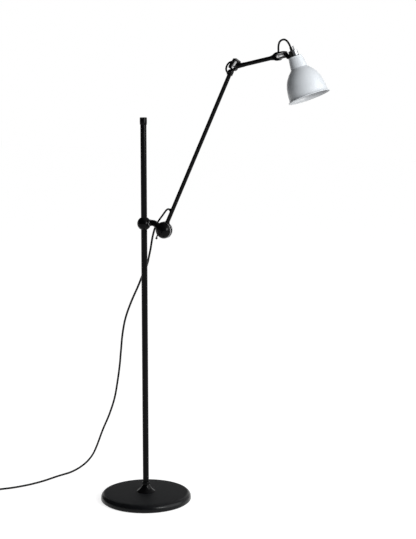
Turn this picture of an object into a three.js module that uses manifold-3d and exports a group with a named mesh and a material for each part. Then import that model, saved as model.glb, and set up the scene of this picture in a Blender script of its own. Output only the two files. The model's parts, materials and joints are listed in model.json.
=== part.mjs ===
// Adjustable arm floor lamp. A weighted round base carries a pole. A clamp ball slides and
// turns on the pole and holds a friction ball joint, a long lower arm, an elbow knuckle, a
// short upper arm, a head knuckle and a bell-shaped shade.
// Millimetres, +Z up, origin at the centre of the floor pad's underside. The arms fold in
// the XZ plane and reach towards +X.
import * as THREE from 'three';
import { mergeVertices } from 'three/addons/utils/BufferGeometryUtils.js';
import Module from 'manifold-3d';

const wasm = await Module();
wasm.setup();

// ---------------------------------------------------------------- driving dimensions
const GAP = 0.3; // between pieces that touch
const EDGE = 1.2; // eased edge on forged and cast pieces
const CUT = 1; // how far a cutting tool runs past the face it opens
const THROUGH = 40; // half the length of a cutting tool that goes right through

// stand
const BASE_RADIUS = 150;
const PAD_RADIUS = BASE_RADIUS - 5;
const PAD_THICKNESS = 2;
const BASE_SIDE = 8; // height of the upright side, below the rounded edge
const BASE_ROUND = 16; // radius of the rounded top edge
const BASE_CROWN = 2; // rise of the domed top towards the pole
const BASE_FOOT_BEVEL = 2;
const SEAT_RADIUS = 32; // flat seat in the middle of the dome
const RECESS_RADIUS = 20; // recess for the bolt head, from below
const RECESS_DEPTH = 7;
const POLE_RADIUS = 10;
const POLE_WALL = 1.5;
const POLE_TOP = 1266; // height of the pole's upper end above the floor
const COLLAR_FOOT_RADIUS = 30;
const COLLAR_TOP_RADIUS = POLE_RADIUS + 1.6;
const COLLAR_HEIGHT = 33;
const CAP_HEIGHT = 24;
const CAP_OVERHANG = 4.3; // cap above the end of the pole
const CAP_RADIUS = POLE_RADIUS + 1.5;
const BOLT_RADIUS = 5;
const BOLT_HEAD_RADIUS = 9.2; // over the corners
const BOLT_HEAD = 5.4;
const POLE_PLUG_LENGTH = 40;

// clamp on the pole
const CLAMP_HEIGHT = 928; // of the ball's centre above the floor
const CLAMP_RADIUS = 22.5;
const CLAMP_HALF_HEIGHT = 18.5;
const LINER_WALL = 1.9;
const LINER_SLIT = 2;
const KNOB_AZIMUTH = 118; // degrees from +X towards +Y, at the back of the clamp
const KNOB_RADIUS = 10.5;
const KNOB_LENGTH = 16;
const KNOB_LOBES = 8;
const SCREW_RADIUS = 4; // clamp screw, stud and pivot bolt
const BOSS_RISE = 3.5; // bracket axis above the clamp ball's centre
const BOSS_RADIUS = 10.8;
const BOSS_FACE = 22.5; // from the pole axis
const SPACER = 1.6;
const STUD_END = 35;

// ball joint, at the end of the bracket
const BALL_OFFSET = new THREE.Vector3(74.5, 0, -17); // from the clamp ball's centre
const BALL_RADIUS = 27.5;
const BALL_FLAT = BALL_RADIUS - 1.5; // from the arm plane to the flat on each pole of the ball
const EYE_THICKNESS = 8.8;
const EYE_RADIUS = BALL_RADIUS - 1.7;
const DISC_THICKNESS = 1.5; // steel friction discs
const DISC_RADIUS = BALL_RADIUS - 0.2;
const BRACKET_RADIUS = 10.2;
const LEVER_HUB_RADIUS = 7.5;
const LEVER_HUB = 7;
const LEVER_REACH = new THREE.Vector3(-14, 0, -24.5); // from hub to knob, seen along Y
const LEVER_ROD_RADIUS = 2.2;
const LEVER_KNOB_RADIUS = 3.8;
const BOLT_DOME = 3.2;
const BOLT_DOME_RADIUS = 7;

// arms
const LOWER_ARM_ANGLE = 64.7; // degrees above horizontal
const LOWER_ARM_LENGTH = 560; // ball joint to elbow pin
const KNUCKLE_ANGLE = 57.3; // of the elbow's barrel, above horizontal
const UPPER_ARM_ANGLE = 12.3;
const UPPER_ARM_LENGTH = 155; // elbow hub to head hub
const ARM_RADIUS = 6.5;
const ARM_WALL = 1.1;
const ARM_BORE = ARM_RADIUS - ARM_WALL;
const NECK_RADIUS = ARM_RADIUS + 0.6; // forged ends that the tubes butt against
const SPIGOT_LENGTH = 20;
const LEAD_RADIUS = 3;
const LOWER_GLAND_AT = 70; // along the lower arm from the ball joint
const GROMMET_HOLE_RADIUS = 4;

// tilt pins of both knuckles
const EAR_RADIUS = 7.5;
const EAR_OUTER = 7.9; // half width over the ears
const TONGUE_HALF = 4;
const PIN_RADIUS = 3;
const PIN_HEAD_RADIUS = 5;
const PIN_HEAD = 2.4;

// knuckle housing: hub, window and end wall, measured from the hub's centre
const HUB_RADIUS = 13;
const HUB_HALF = 9; // half thickness across the arm plane
const HUB_REAR = 8; // flat rear face behind the hub's centre
const WINDOW_REAR = 5.2;
const WINDOW_FRONT = 22.8;
const WINDOW_HALF = 7.2;
const HOUSING_END = 26.3;
const OUTER_RAIL = 11.6; // half width on the outer side
const INNER_RAIL = 9; // half width on the waisted inner side
const PIN_TO_HUB = 16.5; // elbow pin to the elbow hub
const SHAFT_RADIUS = 4;
const SHAFT_SCREW_RADIUS = 2;
const SHAFT_SCREW_HEAD = 2.2; // depth of its countersunk head
const SHAFT_SCREW_LENGTH = 8; // in the shaft
const BARREL_RADIUS = 6.5;
const BARREL_LENGTH = 14.6;
const DOME_RADIUS = 6.8;
const DOME_LENGTH = 8.2;
const FRICTION_WASHER = 1.2;

// head pin, in the head knuckle's frame, and the shade axis in the head's frame
const CRANK_DROP = 9.5;
const CRANK_REACH = 33.2;
const CRANK_HALF = 3;
const CRANK_FLANGE_RADIUS = 10;
const CRANK_EYE_RADIUS = 5.5;
const HEAD_PIN_RADIUS = 2.2;
const HEAD_PIN_HEAD_RADIUS = 4;
const HEAD_PIN_HEAD = 1.8;
const CARRIER_EAR = 3; // thickness of each ear
const SHADE_ANGLE = 111.8; // direction from rim to cap, above the horizontal
const SHADE_AXIS = 21; // from the head pin to the shade's axis
const SADDLE_OUTER = 14.9;

// lampholder and shade, heights from the head pin along the shade's axis
const CAP_BOTTOM = -4.4;
const CAP_TOP = 13.5;
const CAP_OUTER = 12.8;
const HOLDER_STEM_RADIUS = 10;
const HOLDER_RADIUS = 16;
const HOLDER_LENGTH = 36;
const SOCKET_RADIUS = 13.7;
const SOCKET_DEPTH = 24;
const CARRIER_THICKNESS = 2.5;
const SHADE_HEIGHT = 128;
const SHADE_WALL = 1.5;
const SHADE_RIM_RADIUS = 65;
const SHADE_BODY_RADIUS = 60;
const CREASE_RADIUS = 25.9;
const CREASE_HEIGHT = 92;
const SHADE_NECK_RADIUS = 21.6;
const NECK_BAND = 7; // height of the band that is stepped in at the top of the neck
const NECK_STEP = 0.8;
const BULB_RADIUS = 28;
const BULB_BASE_RADIUS = 13.1;
const BULB_BASE_LENGTH = 22;
const SWITCH_RADIUS = 2.4;
const SWITCH_HEIGHT = 12.5;
const SWITCH_AT = 4.6; // from the shade's axis, away from the arm
const GLAND_AT = -4; // from the shade's axis, towards the arm
const GLAND_LENGTH = 11;
const CAP_SCREW_RADIUS = 1.5;

// cord
const CORD_RADIUS = 3.3;
const FLOOR_GAP = 0.2; // under the cord that lies on the floor
const COIL_RADIUS = 36; // middle of its turns
const COIL_COLUMNS = 3;
const COIL_LAYERS = 2;
const COIL_CENTRE = new THREE.Vector3(-553.8, -165.6, 0);
const COIL_ENTRY = new THREE.Vector3(-0.621, -0.784, 0); // the cord's direction as it arrives
const PLUG_BODY_LENGTH = 34;
const PLUG_HALF_WIDTH = 17;
const PLUG_TAIL_HALF_WIDTH = 6;
const PLUG_THICKNESS = 13.6;
const PLUG_RELIEF = 24;
const SLEEVE_RADIUS = 4.1; // of the plug's strain relief, at its thin end
const PIN_PITCH = 19;
const CONTACT_RADIUS = 2;
const CONTACT_LENGTH = 19;

// ---------------------------------------------------------------- finishes
const FINISH = {
  blackPaint: { color: 0x18191b, roughness: 0.42, metalness: 0.1 },
  satinSteel: { color: 0xb9bbbe, roughness: 0.3, metalness: 1 },
  polished: { color: 0xdcdddf, roughness: 0.1, metalness: 1 },
  whitePaint: { color: 0xf1f1ef, roughness: 0.4, metalness: 0 },
  rubber: { color: 0x151515, roughness: 0.7, metalness: 0 },
  felt: { color: 0x1c1c1c, roughness: 0.95, metalness: 0 },
  nylon: { color: 0x2a2a2a, roughness: 0.6, metalness: 0 },
  ceramic: { color: 0xe9e6df, roughness: 0.35, metalness: 0 },
  greyPlastic: { color: 0xc9cbce, roughness: 0.35, metalness: 0 },
  brass: { color: 0xb08d4c, roughness: 0.3, metalness: 1 },
  opalGlass: { color: 0xf6f4ee, roughness: 0.2, metalness: 0 },
};

// ---------------------------------------------------------------- solids
const WELD = 1e-4;

function weld(geometry) {
  const bare = geometry.clone();
  bare.deleteAttribute('normal');
  bare.deleteAttribute('uv');
  const merged = mergeVertices(bare, WELD);
  const index = merged.index.array;
  const kept = [];
  for (let i = 0; i < index.length; i += 3) {
    const [a, b, c] = [index[i], index[i + 1], index[i + 2]];
    if (a !== b && b !== c && c !== a) kept.push(a, b, c);
  }
  merged.setIndex(kept);
  return merged;
}

function solid(geometry) {
  const welded = weld(geometry);
  return new wasm.Manifold(
    new wasm.Mesh({
      numProp: 3,
      vertProperties: new Float32Array(welded.attributes.position.array),
      triVerts: new Uint32Array(welded.index.array),
    }),
  );
}

function geometryOf(body) {
  const mesh = body.getMesh();
  const geometry = new THREE.BufferGeometry();
  geometry.setAttribute('position', new THREE.BufferAttribute(mesh.vertProperties, 3));
  geometry.setIndex(new THREE.BufferAttribute(mesh.triVerts, 1));
  return geometry;
}

function join(first, ...others) {
  return geometryOf(others.reduce((body, other) => body.add(solid(other)), solid(first)));
}

function cut(first, ...tools) {
  return geometryOf(tools.reduce((body, tool) => body.subtract(solid(tool)), solid(first)));
}

function common(first, second) {
  return geometryOf(solid(first).intersect(solid(second)));
}

// A profile of [radius, height] points, turned about Z. It ends on the axis or is closed.
function revolve(profile, segments = 20) {
  const points = profile.map(([radius, height]) => new THREE.Vector2(radius, height));
  const first = points[0];
  const last = points[points.length - 1];
  if (first.x > 0 || last.x > 0) points.push(first.clone());
  if (THREE.ShapeUtils.area(points) < 0) points.reverse();
  return weld(new THREE.LatheGeometry(points, segments).rotateX(Math.PI / 2));
}

function rod(radius, from, to, segments = 16) {
  return revolve([[0, from], [radius, from], [radius, to], [0, to]], segments);
}

function ring(outer, inner, from, to, segments = 20) {
  return revolve([[inner, from], [outer, from], [outer, to], [inner, to]], segments);
}

const alongY = (geometry) => geometry.rotateX(-Math.PI / 2);
const alongX = (geometry) => geometry.rotateY(Math.PI / 2);

function box(from, to) {
  const size = new THREE.Vector3(...to).sub(new THREE.Vector3(...from));
  const middle = new THREE.Vector3(...to).add(new THREE.Vector3(...from)).multiplyScalar(0.5);
  return new THREE.BoxGeometry(size.x, size.y, size.z).translate(...middle);
}

// An outline drawn in the XZ plane, thickened to both sides of it, with eased edges.
function plate(outline, half, edge = EDGE, curveSegments = 5) {
  const geometry = new THREE.ExtrudeGeometry(outline, {
    depth: 2 * (half - edge),
    bevelEnabled: edge > 0,
    bevelThickness: edge,
    bevelSize: edge,
    bevelOffset: -edge,
    bevelSegments: 1,
    curveSegments,
  });
  return weld(geometry.translate(0, 0, -(half - edge)).rotateX(Math.PI / 2));
}

// A round bar or cable along a smooth curve through the points.
function sweep(points, radius, sides, steps) {
  const section = new THREE.Shape();
  for (let i = 0; i < sides; i += 1) {
    const turn = (2 * Math.PI * i) / sides;
    const corner = [radius * Math.cos(turn), radius * Math.sin(turn)];
    if (i === 0) section.moveTo(...corner);
    else section.lineTo(...corner);
  }
  section.closePath();
  const extrudePath = new THREE.CatmullRomCurve3(points, false, 'centripetal');
  return weld(new THREE.ExtrudeGeometry(section, { steps, extrudePath, bevelEnabled: false }));
}

function arc(centreR, centreZ, radius, fromDegrees, toDegrees, steps) {
  const points = [];
  for (let i = 0; i <= steps; i += 1) {
    const angle = THREE.MathUtils.degToRad(
      fromDegrees + ((toDegrees - fromDegrees) * i) / steps,
    );
    points.push([centreR + radius * Math.cos(angle), centreZ + radius * Math.sin(angle)]);
  }
  return points;
}

function piece(name, geometry, finish) {
  const mesh = new THREE.Mesh(geometry, new THREE.MeshStandardMaterial(finish));
  mesh.name = name;
  return mesh;
}

// A frame whose Z axis leans by an angle about Y, with its own origin.
function frame(origin, leanDegrees = 0) {
  const group = new THREE.Group();
  group.position.copy(origin);
  group.rotation.y = THREE.MathUtils.degToRad(leanDegrees);
  return group;
}

const at = (x, y, z) => new THREE.Vector3(x, y, z);

// ---------------------------------------------------------------- stand
const BASE_BOTTOM = PAD_THICKNESS + GAP;
const BASE_SHOULDER = BASE_BOTTOM + BASE_SIDE + BASE_ROUND;
const SEAT_HEIGHT = BASE_SHOULDER + BASE_CROWN;
const POLE_BOTTOM = SEAT_HEIGHT + GAP;
const POLE_BORE = POLE_RADIUS - POLE_WALL;
const BOLT_SEAT = BASE_BOTTOM + RECESS_DEPTH - GAP; // upper face of the bolt's head

function floorPad() {
  return rod(PAD_RADIUS, 0, PAD_THICKNESS, 40);
}

function basePlate() {
  const shoulder = BASE_RADIUS - BASE_ROUND;
  const crown = [];
  const steps = 3;
  for (let i = 1; i <= steps; i += 1) {
    const share = i / steps;
    const radius = shoulder + (SEAT_RADIUS - shoulder) * share;
    crown.push([radius, BASE_SHOULDER + BASE_CROWN * Math.sin((share * Math.PI) / 2)]);
  }
  return revolve([
    [BOLT_RADIUS + GAP, BASE_BOTTOM + RECESS_DEPTH],
    [RECESS_RADIUS, BASE_BOTTOM + RECESS_DEPTH],
    [RECESS_RADIUS, BASE_BOTTOM],
    [BASE_RADIUS - BASE_FOOT_BEVEL, BASE_BOTTOM],
    [BASE_RADIUS, BASE_BOTTOM + BASE_FOOT_BEVEL],
    ...arc(shoulder, BASE_BOTTOM + BASE_SIDE, BASE_ROUND, 0, 90, 4),
    ...crown,
    [BOLT_RADIUS + GAP, SEAT_HEIGHT],
  ], 48);
}

function poleCollar() {
  const flare = [];
  const steps = 6;
  for (let i = 0; i <= steps; i += 1) {
    const share = i / steps;
    const spread = (COLLAR_FOOT_RADIUS - COLLAR_TOP_RADIUS) * (1 - share) ** 2.4;
    flare.push([COLLAR_TOP_RADIUS + spread, POLE_BOTTOM + 1.5 + (COLLAR_HEIGHT - 3) * share]);
  }
  const bore = POLE_RADIUS + GAP;
  return revolve([
    [bore, POLE_BOTTOM],
    [COLLAR_FOOT_RADIUS - 0.5, POLE_BOTTOM],
    ...flare,
    [COLLAR_TOP_RADIUS - 1, POLE_BOTTOM + COLLAR_HEIGHT],
    [bore, POLE_BOTTOM + COLLAR_HEIGHT],
  ]);
}

function baseBolt() {
  const head = rod(BOLT_HEAD_RADIUS, BOLT_SEAT - BOLT_HEAD, BOLT_SEAT, 6);
  const shank = rod(BOLT_RADIUS, BOLT_SEAT - BOLT_HEAD / 2, POLE_BOTTOM + POLE_PLUG_LENGTH - 2);
  return join(head, shank);
}

function poleCap() {
  const top = POLE_TOP + CAP_OVERHANG;
  const bottom = top - CAP_HEIGHT;
  const bore = POLE_RADIUS + GAP;
  return revolve([
    [0, POLE_TOP + GAP],
    [bore, POLE_TOP + GAP],
    [bore, bottom],
    [bore + 0.5, bottom],
    [CAP_RADIUS, bottom + 4],
    [CAP_RADIUS, top - 2],
    [CAP_RADIUS - 0.6, top - 0.6],
    [CAP_RADIUS - 2, top],
    [0, top],
  ]);
}

const lamp = new THREE.Group();

lamp.add(
  piece('floor_pad', floorPad(), FINISH.felt),
  piece('base_plate', basePlate(), FINISH.blackPaint),
  piece('base_bolt', baseBolt(), FINISH.satinSteel),
  piece(
    'pole_insert',
    ring(POLE_BORE - GAP, BOLT_RADIUS + GAP, POLE_BOTTOM, POLE_BOTTOM + POLE_PLUG_LENGTH, 24),
    FINISH.satinSteel,
  ),
  piece('pole_collar', poleCollar(), FINISH.blackPaint),
  piece('pole', ring(POLE_RADIUS, POLE_BORE, POLE_BOTTOM, POLE_TOP), FINISH.blackPaint),
  piece('pole_cap', poleCap(), FINISH.blackPaint),
);

// ---------------------------------------------------------------- clamp on the pole
const clamp = frame(at(0, 0, CLAMP_HEIGHT));
lamp.add(clamp);
const LINER_INNER = POLE_RADIUS + GAP;
const LINER_OUTER = LINER_INNER + LINER_WALL;
const CLAMP_BORE = LINER_OUTER + GAP;

function clampLiner() {
  const height = CLAMP_HALF_HEIGHT - GAP;
  const slit = box(
    [-LINER_OUTER - CUT, -LINER_SLIT / 2, -height - CUT],
    [0, LINER_SLIT / 2, height + CUT],
  );
  return cut(ring(LINER_OUTER, LINER_INNER, -height, height), slit);
}

function clampBall() {
  const end = THREE.MathUtils.radToDeg(Math.asin(CLAMP_HALF_HEIGHT / CLAMP_RADIUS));
  const ball = revolve([
    [0, -CLAMP_HALF_HEIGHT],
    ...arc(0, 0, CLAMP_RADIUS, -end, end, 8),
    [0, CLAMP_HALF_HEIGHT],
  ]);
  const boss = alongX(rod(BOSS_RADIUS, 8, BOSS_FACE)).translate(0, 0, BOSS_RISE);
  const bore = rod(CLAMP_BORE, -2 * CLAMP_RADIUS, 2 * CLAMP_RADIUS, 20);
  const studHole = alongX(rod(SCREW_RADIUS + GAP, 0, BOSS_FACE + CUT)).translate(0, 0, BOSS_RISE);
  const screwHole = alongX(rod(SCREW_RADIUS + GAP, 0, CLAMP_RADIUS + CUT))
    .rotateZ(THREE.MathUtils.degToRad(KNOB_AZIMUTH));
  const beyond = box([BOSS_FACE, -BOSS_FACE, -BOSS_FACE], [2 * BOSS_FACE, BOSS_FACE, BOSS_FACE]);
  return cut(join(ball, boss), bore, studHole, screwHole, beyond);
}

function clampKnob() {
  const grip = new THREE.Shape();
  const points = 4 * KNOB_LOBES;
  for (let i = 0; i < points; i += 1) {
    const turn = (2 * Math.PI * i) / points;
    const radius = KNOB_RADIUS + 0.7 * Math.cos(KNOB_LOBES * turn);
    const corner = [radius * Math.cos(turn), radius * Math.sin(turn)];
    if (i === 0) grip.moveTo(...corner);
    else grip.lineTo(...corner);
  }
  grip.closePath();
  const start = CLAMP_RADIUS + 3;
  const head = new THREE.ExtrudeGeometry(grip, {
    depth: KNOB_LENGTH - 3,
    bevelThickness: 1.5,
    bevelSize: 1.5,
    bevelOffset: -1.5,
    bevelSegments: 1,
  }).translate(0, 0, start + 1.5);
  const shoulder = rod(SCREW_RADIUS + 3, CLAMP_RADIUS + GAP, start + 1);
  const shank = rod(SCREW_RADIUS, LINER_OUTER + GAP, start + 1);
  return alongX(join(head, shoulder, shank)).rotateZ(THREE.MathUtils.degToRad(KNOB_AZIMUTH));
}

clamp.add(
  piece('clamp_liner', clampLiner(), FINISH.nylon),
  piece('clamp_ball', clampBall(), FINISH.blackPaint),
  piece('clamp_knob', clampKnob(), FINISH.blackPaint),
  piece(
    'bracket_spacer',
    alongX(ring(BOSS_RADIUS + 0.3, SCREW_RADIUS + GAP, BOSS_FACE + GAP, BOSS_FACE + GAP + SPACER))
      .translate(0, 0, BOSS_RISE),
    FINISH.polished,
  ),
  piece(
    'bracket_stud',
    alongX(rod(SCREW_RADIUS, CLAMP_BORE + GAP, STUD_END)).translate(0, 0, BOSS_RISE),
    FINISH.satinSteel,
  ),
);

// ---------------------------------------------------------------- bracket and ball joint
const BALL_FACE = EYE_THICKNESS / 2 + DISC_THICKNESS + 2 * GAP; // inner face of each half ball

// Half of the joint's ball, with its flat face at BALL_FACE and a flat on its pole.
function halfBall(bore, segments = 24) {
  const from = THREE.MathUtils.radToDeg(Math.asin(BALL_FACE / BALL_RADIUS));
  const to = THREE.MathUtils.radToDeg(Math.asin(BALL_FLAT / BALL_RADIUS));
  return revolve([
    [bore, BALL_FACE],
    ...arc(0, 0, BALL_RADIUS, from, to, 5),
    [bore, BALL_FLAT],
  ], segments);
}

// The bracket's round bar, from the clamp's boss round to the near half of the ball.
function bracketBar(radius) {
  const start = BOSS_FACE + SPACER + 2 * GAP;
  return sweep([
    at(start, 0, BOSS_RISE),
    at(start + 5, 0, BOSS_RISE),
    at(38, -2.5, BOSS_RISE),
    at(48, -8, BOSS_RISE - 2),
    at(58, -13, BOSS_RISE - 7),
    at(68, -15, BALL_OFFSET.z + 4),
  ], radius, 14, 8);
}

function bracket() {
  const nearHalf = alongY(halfBall(0)).rotateX(Math.PI).translate(...BALL_OFFSET);
  const eyeSpace = alongY(rod(BALL_RADIUS + 3, -BALL_FACE, BALL_FACE, 24))
    .translate(...BALL_OFFSET);
  const bolt = alongY(rod(SCREW_RADIUS + GAP, -THROUGH, THROUGH)).translate(...BALL_OFFSET);
  const leverSeat = alongY(rod(LEVER_HUB_RADIUS + 1, -BALL_RADIUS - 8, -BALL_FLAT))
    .translate(...BALL_OFFSET);
  const stud = alongX(rod(SCREW_RADIUS + GAP, BOSS_FACE, STUD_END + GAP))
    .translate(0, 0, BOSS_RISE);
  return cut(join(bracketBar(BRACKET_RADIUS), nearHalf), eyeSpace, bolt, leverSeat, stud);
}

function pivotBolt() {
  const head = BALL_FLAT + GAP;
  return alongY(revolve([
    [0, -BALL_FLAT - LEVER_HUB + 2],
    [SCREW_RADIUS, -BALL_FLAT - LEVER_HUB + 2],
    [SCREW_RADIUS, head],
    [BOLT_DOME_RADIUS, head],
    [BOLT_DOME_RADIUS, head + 0.8],
    [BOLT_DOME_RADIUS * 0.72, head + BOLT_DOME * 0.75],
    [0, head + BOLT_DOME],
  ], 16)).translate(...BALL_OFFSET);
}

function tiltLever() {
  const outer = -BALL_FLAT - GAP - LEVER_HUB;
  const hub = revolve([
    [0, outer],
    [LEVER_HUB_RADIUS - 2, outer],
    [LEVER_HUB_RADIUS, outer + 1.5],
    [LEVER_HUB_RADIUS, -BALL_FLAT - GAP],
    [0, -BALL_FLAT - GAP],
  ], 16);
  const height = outer + LEVER_HUB / 2;
  const reach = LEVER_REACH;
  const handle = sweep([
    at(0, height, 0),
    at(reach.x * 0.4, height, reach.z * 0.4),
    at(reach.x * 0.75, height + 1.5, reach.z * 0.75),
    at(reach.x, height + 5, reach.z),
  ], LEVER_ROD_RADIUS, 8, 4);
  const knob = new THREE.SphereGeometry(LEVER_KNOB_RADIUS, 10, 6)
    .translate(reach.x, height + 5, reach.z);
  const thread = alongY(rod(SCREW_RADIUS + GAP, outer + 1.8, 0));
  return cut(join(alongY(hub), handle, knob), thread).translate(...BALL_OFFSET);
}

// P-clip on the back of the bracket that holds the cord.
const CLIP_AT = at(39, 13.2, -3);
const CLIP_DIRECTION = at(-0.46, 0, -0.888);

function cordClip() {
  const loop = ring(CORD_RADIUS + GAP + 1.3, CORD_RADIUS + GAP, -2.5, 2.5, 20)
    .rotateY(Math.atan2(CLIP_DIRECTION.x, CLIP_DIRECTION.z)).translate(...CLIP_AT);
  const foot = box([CLIP_AT.x - 3, CLIP_AT.y - 6.4, CLIP_AT.z + 1], [
    CLIP_AT.x + 3,
    CLIP_AT.y - CORD_RADIUS - GAP - 0.4,
    CLIP_AT.z + 5.5,
  ]);
  return cut(join(loop, foot), bracketBar(BRACKET_RADIUS + GAP));
}

clamp.add(
  piece('bracket', bracket(), FINISH.blackPaint),
  piece('joint_cap', alongY(halfBall(SCREW_RADIUS + GAP)).translate(...BALL_OFFSET),
    FINISH.blackPaint),
  piece('pivot_bolt', pivotBolt(), FINISH.blackPaint),
  piece('tilt_lever', tiltLever(), FINISH.blackPaint),
  piece('cord_clip', cordClip(), FINISH.rubber),
);
for (const [name, side] of [['friction_disc_near', -1], ['friction_disc_far', 1]]) {
  const inner = EYE_THICKNESS / 2 + GAP;
  const disc = ring(DISC_RADIUS, SCREW_RADIUS + GAP, inner, inner + DISC_THICKNESS, 24);
  const placed = alongY(disc).rotateX(side < 0 ? Math.PI : 0).translate(...BALL_OFFSET);
  clamp.add(piece(name, placed, FINISH.satinSteel));
}

// ---------------------------------------------------------------- lower arm
const lowerArm = frame(BALL_OFFSET, 90 - LOWER_ARM_ANGLE);
clamp.add(lowerArm);
const EYE_NECK = DISC_RADIUS + 2 * GAP; // where the flat eye turns into the round neck
const TUBE_START = EYE_NECK + 5;
const FORK_ROOT = LOWER_ARM_LENGTH - 12;

function armEye() {
  const disc = alongY(rod(EYE_RADIUS, -EYE_THICKNESS / 2, EYE_THICKNESS / 2, 24));
  const tongue = box(
    [-NECK_RADIUS, -EYE_THICKNESS / 2, 0],
    [NECK_RADIUS, EYE_THICKNESS / 2, EYE_NECK + 1],
  );
  const neck = rod(NECK_RADIUS, EYE_NECK, TUBE_START - GAP);
  const spigot = rod(ARM_BORE - GAP, EYE_NECK, TUBE_START + SPIGOT_LENGTH);
  const bolt = alongY(rod(SCREW_RADIUS + GAP, -EYE_THICKNESS, EYE_THICKNESS));
  return cut(join(disc, tongue, neck, spigot), bolt);
}

function lowerTube() {
  const tube = ring(ARM_RADIUS, ARM_BORE, TUBE_START, FORK_ROOT, 20);
  const hole = alongX(rod(GROMMET_HOLE_RADIUS, -2 * ARM_RADIUS, 0, 16))
    .translate(0, 0, LOWER_GLAND_AT);
  return cut(tube, hole);
}

// Rubber grommet: shank in the tube's hole, flange and nozzle outside.
function grommet() {
  const bore = LEAD_RADIUS + GAP;
  const shank = GROMMET_HOLE_RADIUS - GAP;
  const flange = GROMMET_HOLE_RADIUS + 1.2;
  const seat = -ARM_RADIUS - GAP;
  return alongX(revolve([
    [bore, seat - 4],
    [shank, seat - 4],
    [flange - 0.6, seat - 1.4],
    [flange, seat - 1],
    [flange, seat],
    [shank, seat],
    [shank, -ARM_BORE + 0.4],
    [bore, -ARM_BORE + 0.4],
  ], 16));
}

// Ears with a slot between them, a round root and a bored spigot that carries the lead.
function armFork() {
  const outline = new THREE.Shape();
  const lean = Math.asin((EAR_RADIUS - NECK_RADIUS) / (LOWER_ARM_LENGTH - FORK_ROOT));
  outline.moveTo(-NECK_RADIUS, FORK_ROOT + GAP);
  outline.lineTo(NECK_RADIUS, FORK_ROOT + GAP);
  outline.absarc(0, LOWER_ARM_LENGTH, EAR_RADIUS, -lean, Math.PI + lean, false);
  outline.closePath();
  const body = plate(outline, EAR_OUTER, EDGE, 6);
  const spigot = rod(ARM_BORE - GAP, FORK_ROOT - SPIGOT_LENGTH, FORK_ROOT + 2);
  const slot = box(
    [-20, -TONGUE_HALF - GAP, LOWER_ARM_LENGTH - EAR_RADIUS - GAP],
    [20, TONGUE_HALF + GAP, LOWER_ARM_LENGTH + 20],
  );
  const pin = alongY(rod(PIN_RADIUS + GAP, -THROUGH, THROUGH, 20)).translate(0, 0, LOWER_ARM_LENGTH);
  const bore = rod(LEAD_RADIUS + GAP, FORK_ROOT - SPIGOT_LENGTH - CUT, FORK_ROOT + 1.4, 12);
  const exit = rod(LEAD_RADIUS + GAP, 0, 20, 12)
    .rotateY(THREE.MathUtils.degToRad(-68)).translate(0, 0, FORK_ROOT + 1.4);
  return cut(join(body, spigot), slot, pin, bore, exit);
}

lowerArm.add(
  piece('lower_arm_eye', armEye(), FINISH.blackPaint),
  piece('lower_arm_tube', lowerTube(), FINISH.blackPaint),
  piece('lower_arm_grommet', grommet().translate(0, 0, LOWER_GLAND_AT), FINISH.rubber),
  piece('lower_arm_fork', armFork(), FINISH.blackPaint),
);

// Pin with a domed head on one side and a nut on the other, along Y.
function domedPin(radius, headRadius, headHeight, half) {
  return alongY(revolve([
    [0, -half - headHeight],
    [headRadius * 0.6, -half - headHeight * 0.75],
    [headRadius, -half - headHeight * 0.25],
    [headRadius, -half],
    [radius, -half],
    [radius, half + headHeight],
    [0, half + headHeight],
  ], 12));
}

function pinNut(radius, outer, height, half) {
  const hexagon = rod(outer, half, half + height, 6);
  return alongY(cut(hexagon, rod(radius + GAP, half - CUT, half + height + CUT, 16)));
}

const elbowPin = domedPin(PIN_RADIUS, PIN_HEAD_RADIUS, PIN_HEAD, EAR_OUTER + GAP);
const elbowNut = pinNut(PIN_RADIUS, PIN_HEAD_RADIUS + 0.6, PIN_HEAD, EAR_OUTER + GAP);
lowerArm.add(
  piece('elbow_pin', elbowPin.translate(0, 0, LOWER_ARM_LENGTH), FINISH.blackPaint),
  piece('elbow_nut', elbowNut.translate(0, 0, LOWER_ARM_LENGTH), FINISH.blackPaint),
);

// ---------------------------------------------------------------- knuckle parts
// Both knuckles share one design. A forged housing has a round hub, a window through both
// faces and an end wall. A polished dome and barrel sit on a shaft in the window, and the
// shaft turns in the rear wall or the end wall. Heights are from the hub's centre.
const DOME_START = -WINDOW_REAR + GAP;
const WASHER_START = DOME_START + DOME_LENGTH + GAP;
const BARREL_START = WASHER_START + FRICTION_WASHER + GAP;

function housingOutline(rearHalf, rear) {
  const outline = new THREE.Shape();
  const lowest = Math.asin(rear / HUB_RADIUS);
  outline.moveTo(-rearHalf, -rear);
  outline.lineTo(rearHalf, -rear);
  outline.absarc(0, 0, HUB_RADIUS, -lowest, Math.PI / 7, false);
  outline.quadraticCurveTo(INNER_RAIL, HUB_RADIUS * 0.62, INNER_RAIL, HUB_RADIUS);
  outline.lineTo(INNER_RAIL, WINDOW_FRONT - 5);
  outline.quadraticCurveTo(INNER_RAIL, HOUSING_END - 4, INNER_RAIL + 0.8, HOUSING_END - 3);
  outline.quadraticCurveTo(INNER_RAIL + 0.8, HOUSING_END, INNER_RAIL - 2, HOUSING_END);
  outline.lineTo(-OUTER_RAIL + 3.5, HOUSING_END);
  outline.quadraticCurveTo(-OUTER_RAIL, HOUSING_END, -OUTER_RAIL, HOUSING_END - 3.5);
  outline.lineTo(-HUB_RADIUS * Math.cos(0.2), HUB_RADIUS * Math.sin(0.2));
  outline.absarc(0, 0, HUB_RADIUS, Math.PI - 0.2, Math.PI + lowest, false);
  outline.closePath();
  return outline;
}

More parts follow.
